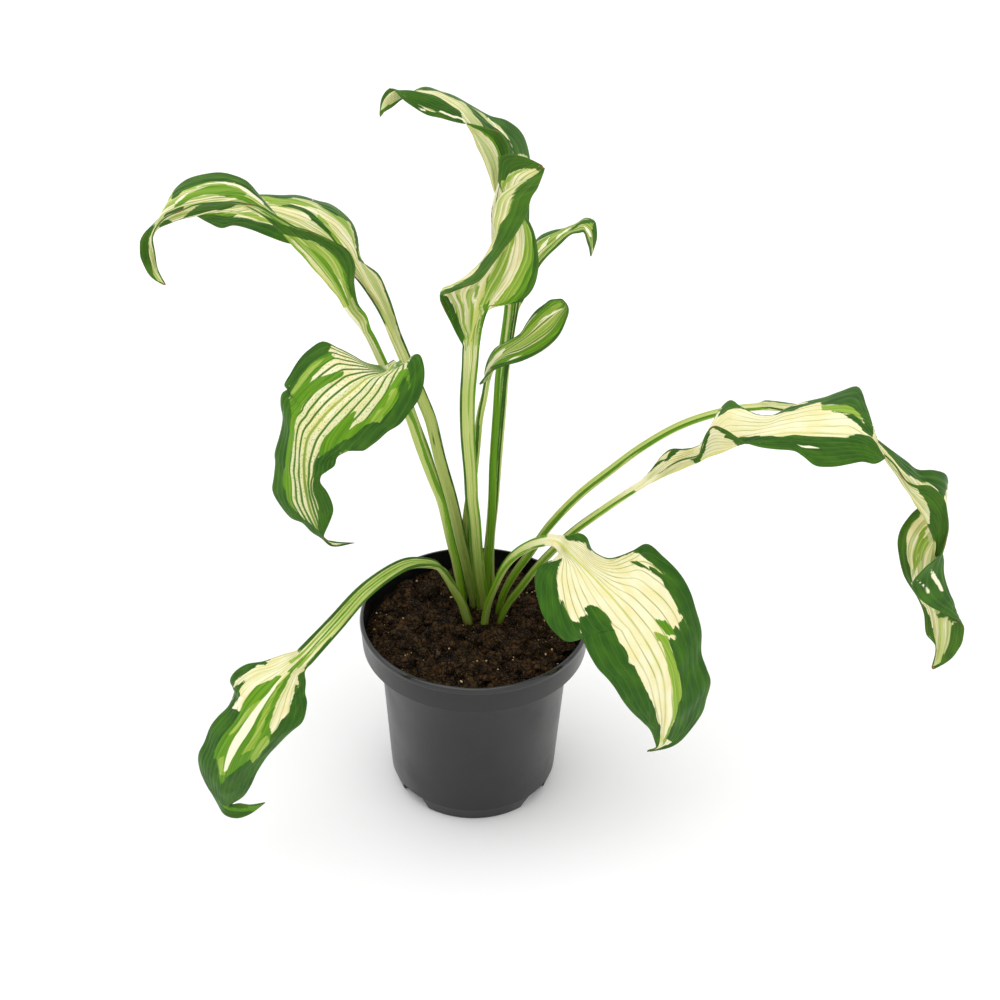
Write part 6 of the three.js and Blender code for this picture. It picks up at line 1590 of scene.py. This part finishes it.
class HOSTA_OT_compost(bpy.types.Operator):
    """Fills the pot with compost and models its crumbly top"""

    bl_idname = "hosta.compost"
    bl_label = "Compost"

    def execute(self, context):
        settings = context.scene.hosta
        sides = settings.soil_sides
        edge = SOIL_SPACE[-1][0] - 0.05
        rings = max(int(edge * MM / settings.soil_step), 8)
        radii = [0] + [r for r, _ in SOIL_SPACE] + list(np.linspace(edge, 0, rings))
        levels = [SOIL_SPACE[0][1]] + [z for _, z in SOIL_SPACE] + [None] * rings
        deselect()
        bpy.ops.mesh.primitive_grid_add(x_subdivisions=sides, y_subdivisions=len(radii) - 1, size=2)
        compost = fresh(bpy.context.object, "compost_bed")
        flat = get_points(compost)
        column = np.rint((flat[:, 0] + 1) / 2 * sides)
        row = np.rint((flat[:, 1] + 1) / 2 * (len(radii) - 1)).astype(int)
        angle = column * 2 * math.pi / sides
        radius = np.array(radii, float)[row]
        x, y = radius * np.cos(angle), radius * np.sin(angle)
        top = soil_level(x, y)
        fixed = np.array([np.nan if z is None else z for z in levels])[row]
        set_points(compost, np.stack([x, y, np.where(np.isnan(fixed), top, fixed)], 1))
        # Height above the heap, which the compost material turns into painted shade in hollows and painted
        # light on tops
        carry(compost, "relief", soil_layers(x, y)[1])
        outward(compost)
        cut(compost, notch_wedges(POT_GAP))
        finish_piece(compost, soil_finish(), ["soil"], 60)
        return {"FINISHED"}


def mesh_piece(name, points, faces):
    """A new piece from points in millimetres and their faces."""
    mesh = bpy.data.meshes.new(name)
    mesh.from_pydata([tuple(c * MM for c in p) for p in points], [], faces)
    piece = bpy.data.objects.new(name, mesh)
    bpy.context.collection.objects.link(piece)
    return piece


def scattered(name, shape, places):
    """One mesh of many copies of a small shape, each with its own turn, size and stretch."""
    base = get_points(shape)
    faces = [tuple(p.vertices) for p in shape.data.polygons]
    points, polygons = [], []
    for matrix, swell in places:
        start = len(points)
        m = np.array(matrix)
        for k, p in enumerate(base):
            points.append(m[:3, :3] @ (p * swell[k % len(swell)]) + m[:3, 3])
        polygons += [tuple(i + start for i in face) for face in faces]
    piece = mesh_piece(name, points, polygons)
    # Each point's height in its lump, which the compost material turns into painted shade underneath and
    # painted light on top
    carry(piece, "relief", np.tile(LUMP_SHADE_RELIEF + LUMP_TOP_SHADE_RELIEF * base[:, 2], len(places)))
    bpy.data.objects.remove(shape, do_unlink=True)
    outward(piece)
    return piece


def strewn(seed, count, spread, size, flatness, sink, middle=(0, 0)):
    """Seeded places on the compost: a turn, a size and a lumpy swelling for each."""
    take = draw(seed)
    places = []
    for _ in range(count):
        angle = take() * 2 * math.pi
        radius = spread * math.sqrt(take())
        scale = size[0] + (size[1] - size[0]) * take() ** 2
        radius = min(radius, STREWN_RADIUS - scale * 1.25)
        x, y = middle[0] + radius * math.cos(angle), middle[1] + radius * math.sin(angle)
        stretch = Matrix.Diagonal((scale * (0.8 + 0.5 * take()), scale * (0.7 + 0.4 * take()),
                                   scale * flatness * (0.7 + 0.5 * take()), 1))
        turn = Matrix.Rotation(take() * LUMP_TURN, 4, "Z")
        turn = turn @ Matrix.Rotation((take() - 0.5) * LUMP_TILT, 4, "X")
        level = float(soil_level(x, y)[0])
        lift = Matrix.Translation((x, y, level + scale * flatness * (0.5 - sink)))
        swell = [0.62 + 0.7 * take() for _ in range(7)]
        places.append((lift @ turn @ stretch, swell))
    return places


class HOSTA_OT_loose_matter(bpy.types.Operator):
    """Strews crumbs, bark, fibres and pale grains over the compost"""

    bl_idname = "hosta.loose_matter"
    bl_label = "Loose matter"

    def execute(self, context):
        deselect()
        bpy.ops.mesh.primitive_ico_sphere_add(subdivisions=2, radius=1)
        shape = fresh(bpy.context.object, "lump")
        places = strewn(seed=21, count=560, spread=57.5, size=(1.3, 5.6), flatness=0.66, sink=0.34)
        places += strewn(
            seed=27, count=90, spread=15, size=(1.2, 3.2), flatness=0.8, sink=0.3, middle=(4, 13)
        )
        places += strewn(seed=63, count=80, spread=55, size=(3.2, 6.4), flatness=0.62, sink=0.42)
        crumbs = scattered("compost_crumbs", shape, places)
        finish_piece(crumbs, bpy.data.materials["compost"], smooth=22)

        deselect()
        bpy.ops.mesh.primitive_cube_add(size=2)
        shape = fresh(bpy.context.object, "chip")
        bpy.ops.object.mode_set(mode="EDIT")
        bpy.ops.mesh.subdivide(number_cuts=1)
        bpy.ops.object.mode_set(mode="OBJECT")
        places = strewn(seed=33, count=55, spread=59, size=(0.9, 2.4), flatness=0.35, sink=0.25)
        bark = scattered("bark_chips", shape, places)
        tones = grain_finish("bark", rgb(40, 28, 20), rgb(74, 54, 36), 0.6, 0.8)
        finish_piece(bark, tones, smooth=25)

        deselect()
        bpy.ops.mesh.primitive_ico_sphere_add(subdivisions=1, radius=1)
        shape = fresh(bpy.context.object, "grain")
        places = strewn(seed=45, count=240, spread=60, size=(0.3, 0.95), flatness=0.9, sink=-0.6)
        grains = scattered("pale_grains", shape, places)
        tones = grain_finish("pale grains", rgb(196, 148, 76), rgb(232, 208, 160), 0.5, 0.5)
        finish_piece(grains, tones, smooth=60)

        fibres = self.fibres()
        tones = grain_finish("plant fibre", rgb(58, 40, 26), rgb(104, 76, 48), 0.4, 0.75)
        finish_piece(fibres, tones, smooth=60)
        return {"FINISHED"}

    def fibres(self):
        """Thin bent strands that lie on the compost."""
        take = draw(FIBRE_SEED)
        points, faces = [], []
        rows, sides = FIBRE_ROWS, FIBRE_SIDES
        for _ in range(FIBRE_COUNT):
            angle = take() * 2 * math.pi
            radius = FIBRE_SPREAD * math.sqrt(take())
            x, y = radius * math.cos(angle), radius * math.sin(angle)
            way = take() * 2 * math.pi
            bend = (take() - 0.5) * 1.6
            length = 3 + 9 * take() ** 2
            thick = 0.12 + 0.16 * take()
            lift = 0.3 + 1.4 * take()
            start = len(points)
            for i in range(rows):
                t = i / (rows - 1)
                heading = way + bend * (t - 0.5)
                px = x + math.cos(heading) * length * (t - 0.5)
                py = y + math.sin(heading) * length * (t - 0.5)
                if math.hypot(px, py) > STREWN_RADIUS:
                    px, py = px * DRAWN_IN, py * DRAWN_IN
                pz = float(soil_level(px, py)[0]) + thick + lift * math.sin(math.pi * t)
                girth = thick * (1 - 0.6 * abs(2 * t - 1) ** 3)
                for k in range(sides):
                    turn = k * 2 * math.pi / sides
                    points.append((
                        px - math.sin(heading) * girth * math.cos(turn),
                        py + math.cos(heading) * girth * math.cos(turn),
                        pz + girth * math.sin(turn),
                    ))
            for i in range(rows - 1):
                for k in range(sides):
                    a = start + i * sides + k
                    b = start + i * sides + (k + 1) % sides
                    faces.append((a, b, b + sides, a + sides))
            faces.append(tuple(start + k for k in reversed(range(sides))))
            faces.append(tuple(start + (rows - 1) * sides + k for k in range(sides)))
        piece = mesh_piece("compost_fibres", points, faces)
        outward(piece)
        return piece


def fine_outline(outline):
    """An outline with further points, as the margin between two of them is curved."""
    points = []
    for (s0, v0), (s1, v1) in zip(outline, outline[1:] + outline[:1]):
        count = max(math.ceil(abs(s1 - s0) / OUTLINE_STEP), 1)
        points += [(s0 + (s1 - s0) * k / count, v0 + (v1 - v0) * k / count) for k in range(count)]
    return points


def outline_field(outline, x, y):
    """How far inside a closed outline each point lies, in millimetres, below 0 outside it."""
    inside = np.zeros(x.shape, bool)
    away = np.full(x.shape, 1e6)
    for (ax, ay), (bx, by) in zip(outline, outline[1:] + outline[:1]):
        dx, dy = bx - ax, by - ay
        t = np.clip(((x - ax) * dx + (y - ay) * dy) / max(dx * dx + dy * dy, 1e-9), 0, 1)
        away = np.minimum(away, np.hypot(x - ax - t * dx, y - ay - t * dy))
        if ay != by:
            inside ^= ((ay > y) != (by > y)) & (x < ax + (y - ay) * dx / dy)
    return np.where(inside, away, -away)


class Skin:
    """The grid that a leaf's two faces are made on: a row for each place, a column across."""

    def __init__(self, leaf, fan, number, settings):
        step = settings.blade_step / MM
        stalk_rows_count = max(int(leaf.neck / (step * STALK_STRETCH)), LEAST_STALK_ROWS)
        blade_rows = max(int(leaf.blade * LAST_PART / step), LEAST_BLADE_ROWS)
        self.leaf = leaf
        self.number = number
        self.rows = stalk_rows_count + blade_rows
        self.columns = settings.blade_columns * 2
        self.place = np.concatenate([
            np.linspace(0, 1, stalk_rows_count, endpoint=False),
            1 + LAST_PART * np.linspace(0, 1, blade_rows + 1),
        ])
        self.part = self.place - 1
        self.across = np.linspace(-1, 1, self.columns + 1)
        self.left, self.right = leaf.width(self.place)
        self.width = np.where(self.across[None] < 0, self.left[:, None], self.right[:, None])
        reach = fan + (1 - fan) * smooth_step(self.part, 0, 0.5)
        self.vein = self.across[None] / reach[:, None]
        along = np.where(self.place < 1, self.part * leaf.neck, self.part * leaf.blade)
        self.lengthwise = np.repeat(along[:, None], self.columns + 1, 1)
        self.from_margin = (1 - np.abs(self.across)[None]) * self.width

    def faces(self, settings):
        """The upper and the lower face, with furrows along the veins and slow waves between."""
        sheet = self.leaf.sheet(self.place, self.across)
        normals = sheet_normals(sheet)
        above, below = self.leaf.depths(self.place, self.across)
        ripple = np.cos(2 * math.pi * self.vein * settings.vein_count)
        calm = smooth_step(1 - np.abs(self.across), 0, 0.2)[None]
        calm = calm * smooth_step(self.part, 0.02, 0.14)[:, None]
        calm = calm * smooth_step(self.width, 3, 10)
        relief = -ripple * settings.vein_relief / MM * 0.5 * calm
        wave = (self.part * self.leaf.blade * SWELL_TURN)[:, None]
        wave = wave + 2.2 * np.sin(self.across * 6 + self.number)[None]
        relief = relief + SWELL * np.sin(wave) * calm
        upper = sheet + normals * (above + relief)[:, :, None]
        return upper, sheet - normals * (below - relief)[:, :, None]

    def spots(self, outline):
        """An outline's points in millimetres along and across the leaf."""
        points = []
        for s, v in fine_outline(outline):
            side = self.left if v < 0 else self.right
            length = self.leaf.neck if s < 0 else self.leaf.blade
            points.append((s * length, v * float(np.interp(s, self.part, side))))
        return points

    def band(self, kind, outlines, margin):
        """How far inside one kind of marking each point lies, in millimetres."""
        field = np.full(self.width.shape, -float(BAND_REACH))
        if kind == "dark":
            edge = margin + OUTLINE_GROWTH - self.from_margin
            field = np.maximum(field, edge - 3 * smooth_step(self.part, 0.12, 0.0)[:, None])
        for name, outline in outlines:
            if name != kind:
                continue
            made = outline_field(self.spots(outline), self.lengthwise, self.across[None] * self.width)
            if kind != "white":
                made += OUTLINE_GROWTH * min(max(made.max(), 0) / BROAD_BAND, 1)
            field = np.maximum(field, made)
        return np.clip(field, -BAND_REACH, BAND_REACH)

    def dry(self):
        """How far inside the dry tip and the dry bits of margin each point lies."""
        tip = (self.part - DRY_TIP) * self.leaf.blade
        bits = np.sin(self.part * DRY_TURN + self.number * 2.1)[:, None] - DRY_RARITY
        bits = (DRY_WIDTH - self.from_margin) * 2 + bits - BAND_REACH * (self.part < 0.1)[:, None]
        return np.clip(np.maximum(tip[:, None], bits), -BAND_REACH, BAND_REACH)


class HOSTA_OT_leaves(bpy.types.Operator):
    """Models each leaf as one closed skin over its stalk and blade"""

    bl_idname = "hosta.leaves"
    bl_label = "Leaves"

    def execute(self, context):
        settings = context.scene.hosta
        material = leaf_finish(settings)
        for number, drawn in enumerate(LEAVES):
            name = drawn["name"]
            looks = MARKS[name]
            exact = placed(drawn)
            skin = Skin(Leaf(rounded(exact)), looks["fan"], number, settings)
            piece, i, j, low_side = self.closed_skin(skin, name, settings)
            self.carry_looks(piece, skin, looks, leaf_outlines(Leaf(exact), looks), i, j, low_side)
            finish_piece(piece, material, [name], 50)
        return {"FINISHED"}

    def closed_skin(self, skin, name, settings):
        """A flat closed grid whose points go to the leaf's two faces, and each point's place in it."""
        upper, lower = skin.faces(settings)
        deselect()
        bpy.ops.mesh.primitive_grid_add(x_subdivisions=skin.columns, y_subdivisions=skin.rows, size=2)
        piece = fresh(bpy.context.object, name.replace("leaf_", "hosta_leaf_"))
        bpy.ops.object.mode_set(mode="EDIT")
        bpy.ops.mesh.select_all(action="SELECT")
        bpy.ops.mesh.extrude_region_move(TRANSFORM_OT_translate={"value": (0, 0, -1)})
        bpy.ops.object.mode_set(mode="OBJECT")
        outward(piece)
        flat = get_points(piece)
        i = np.rint((flat[:, 1] + 1) / 2 * skin.rows).astype(int)
        j = np.rint((flat[:, 0] + 1) / 2 * skin.columns).astype(int)
        low_side = flat[:, 2] < -0.5
        points = np.where(low_side[:, None], lower[i, j], upper[i, j])
        low_corner, high_corner = (np.array(corner) / MM for corner in CAD_BOX)
        set_points(piece, np.clip(points, low_corner + BOX_MARGIN, high_corner - BOX_MARGIN))
        return piece, i, j, low_side

    def carry_looks(self, piece, skin, looks, outlines, i, j, low_side):
        """Stores at each point what the leaf's material reads there."""
        values = [skin.lengthwise, skin.vein, skin.width]
        carry(piece, "leaf_place", np.stack([v[i, j] for v in values], 1), "FLOAT_VECTOR")
        traits = (skin.number * 13.7, looks["veins"], looks["specks"])
        carry(piece, "leaf_traits", np.tile(traits, (len(i), 1)), "FLOAT_VECTOR")
        carry(piece, "underside", low_side.astype(float))
        carry(piece, "stripes", np.full(len(i), looks["stripes"]))
        for kind in ("lime", "mid", "dark", "white"):
            carry(piece, "band_" + kind, skin.band(kind, outlines, looks["margin"])[i, j])
        carry(piece, "dry", skin.dry()[i, j])


class HOSTA_OT_stage(bpy.types.Operator):
    """Sets the floor, the studio light and the camera"""

    bl_idname = "hosta.stage"
    bl_label = "Stage"

    def execute(self, context):
        settings = context.scene.hosta
        deselect()
        bpy.ops.mesh.primitive_plane_add(size=40)
        floor = fresh(bpy.context.object, "studio_floor")
        floor.data.materials.append(floor_finish(settings))
        world = bpy.data.worlds.new("studio")
        context.scene.world = world
        world.use_nodes = True
        world.node_tree.nodes["Background"].inputs["Color"].default_value = (1, 1, 1, 1)
        world.node_tree.nodes["Background"].inputs["Strength"].default_value = 1
        self.light("key light", (-0.45, 0.05, 1.9), 60, settings.light_power)
        self.light("fill light", (0.9, -1.1, 1.4), 70, settings.light_power * FILL_SHARE)
        self.camera(context)
        context.scene.view_settings.view_transform = "Standard"
        deselect()
        return {"FINISHED"}

    def light(self, name, place, softness, power):
        bpy.ops.object.light_add(type="SUN", location=place)
        light = bpy.context.object
        light.name = name
        light.data.angle = math.radians(softness)
        light.data.energy = power
        way = Vector(PLANT_MIDDLE) - Vector(place)
        light.rotation_euler = way.to_track_quat("-Z", "Y").to_euler()

    def camera(self, context):
        """The photograph's view: seen from the front and well above."""
        bpy.ops.object.camera_add(location=tuple(CAMERA_PLACE * MM))
        camera = bpy.context.object
        camera.name = "camera"
        turn = Matrix((CAMERA_RIGHT, CAMERA_UP, -CAMERA_AHEAD)).transposed()
        camera.rotation_euler = turn.to_euler()
        camera.data.sensor_width = SENSOR_WIDTH
        camera.data.lens = CAMERA_LENS
        camera.data.clip_start = NEAREST_SEEN * MM
        context.scene.camera = camera


class HOSTA_PT_panel(bpy.types.Panel):
    """Lists the plant's settings and the steps that build it"""

    bl_idname = "HOSTA_PT_panel"
    bl_label = "Potted hosta"
    bl_space_type = "VIEW_3D"
    bl_region_type = "UI"
    bl_category = "Hosta"

    def draw(self, context):
        for name in HostaSettings.__annotations__:
            self.layout.prop(context.scene.hosta, name)
        for operator in OPERATORS:
            self.layout.operator(operator.bl_idname)


OPERATORS = (
    HOSTA_OT_pot, HOSTA_OT_compost, HOSTA_OT_loose_matter, HOSTA_OT_leaves, HOSTA_OT_stage,
)
CLASSES = (HostaSettings, *OPERATORS, HOSTA_PT_panel)


def register():
    for item in CLASSES:
        bpy.utils.register_class(item)
    bpy.types.Scene.hosta = PointerProperty(type=HostaSettings)


def unregister():
    del bpy.types.Scene.hosta
    for item in reversed(CLASSES):
        bpy.utils.unregister_class(item)


def main():
    register()
    bpy.ops.hosta.pot()
    bpy.ops.hosta.compost()
    bpy.ops.hosta.loose_matter()
    bpy.ops.hosta.leaves()
    bpy.ops.hosta.stage()


if __name__ == "__main__":
    main()
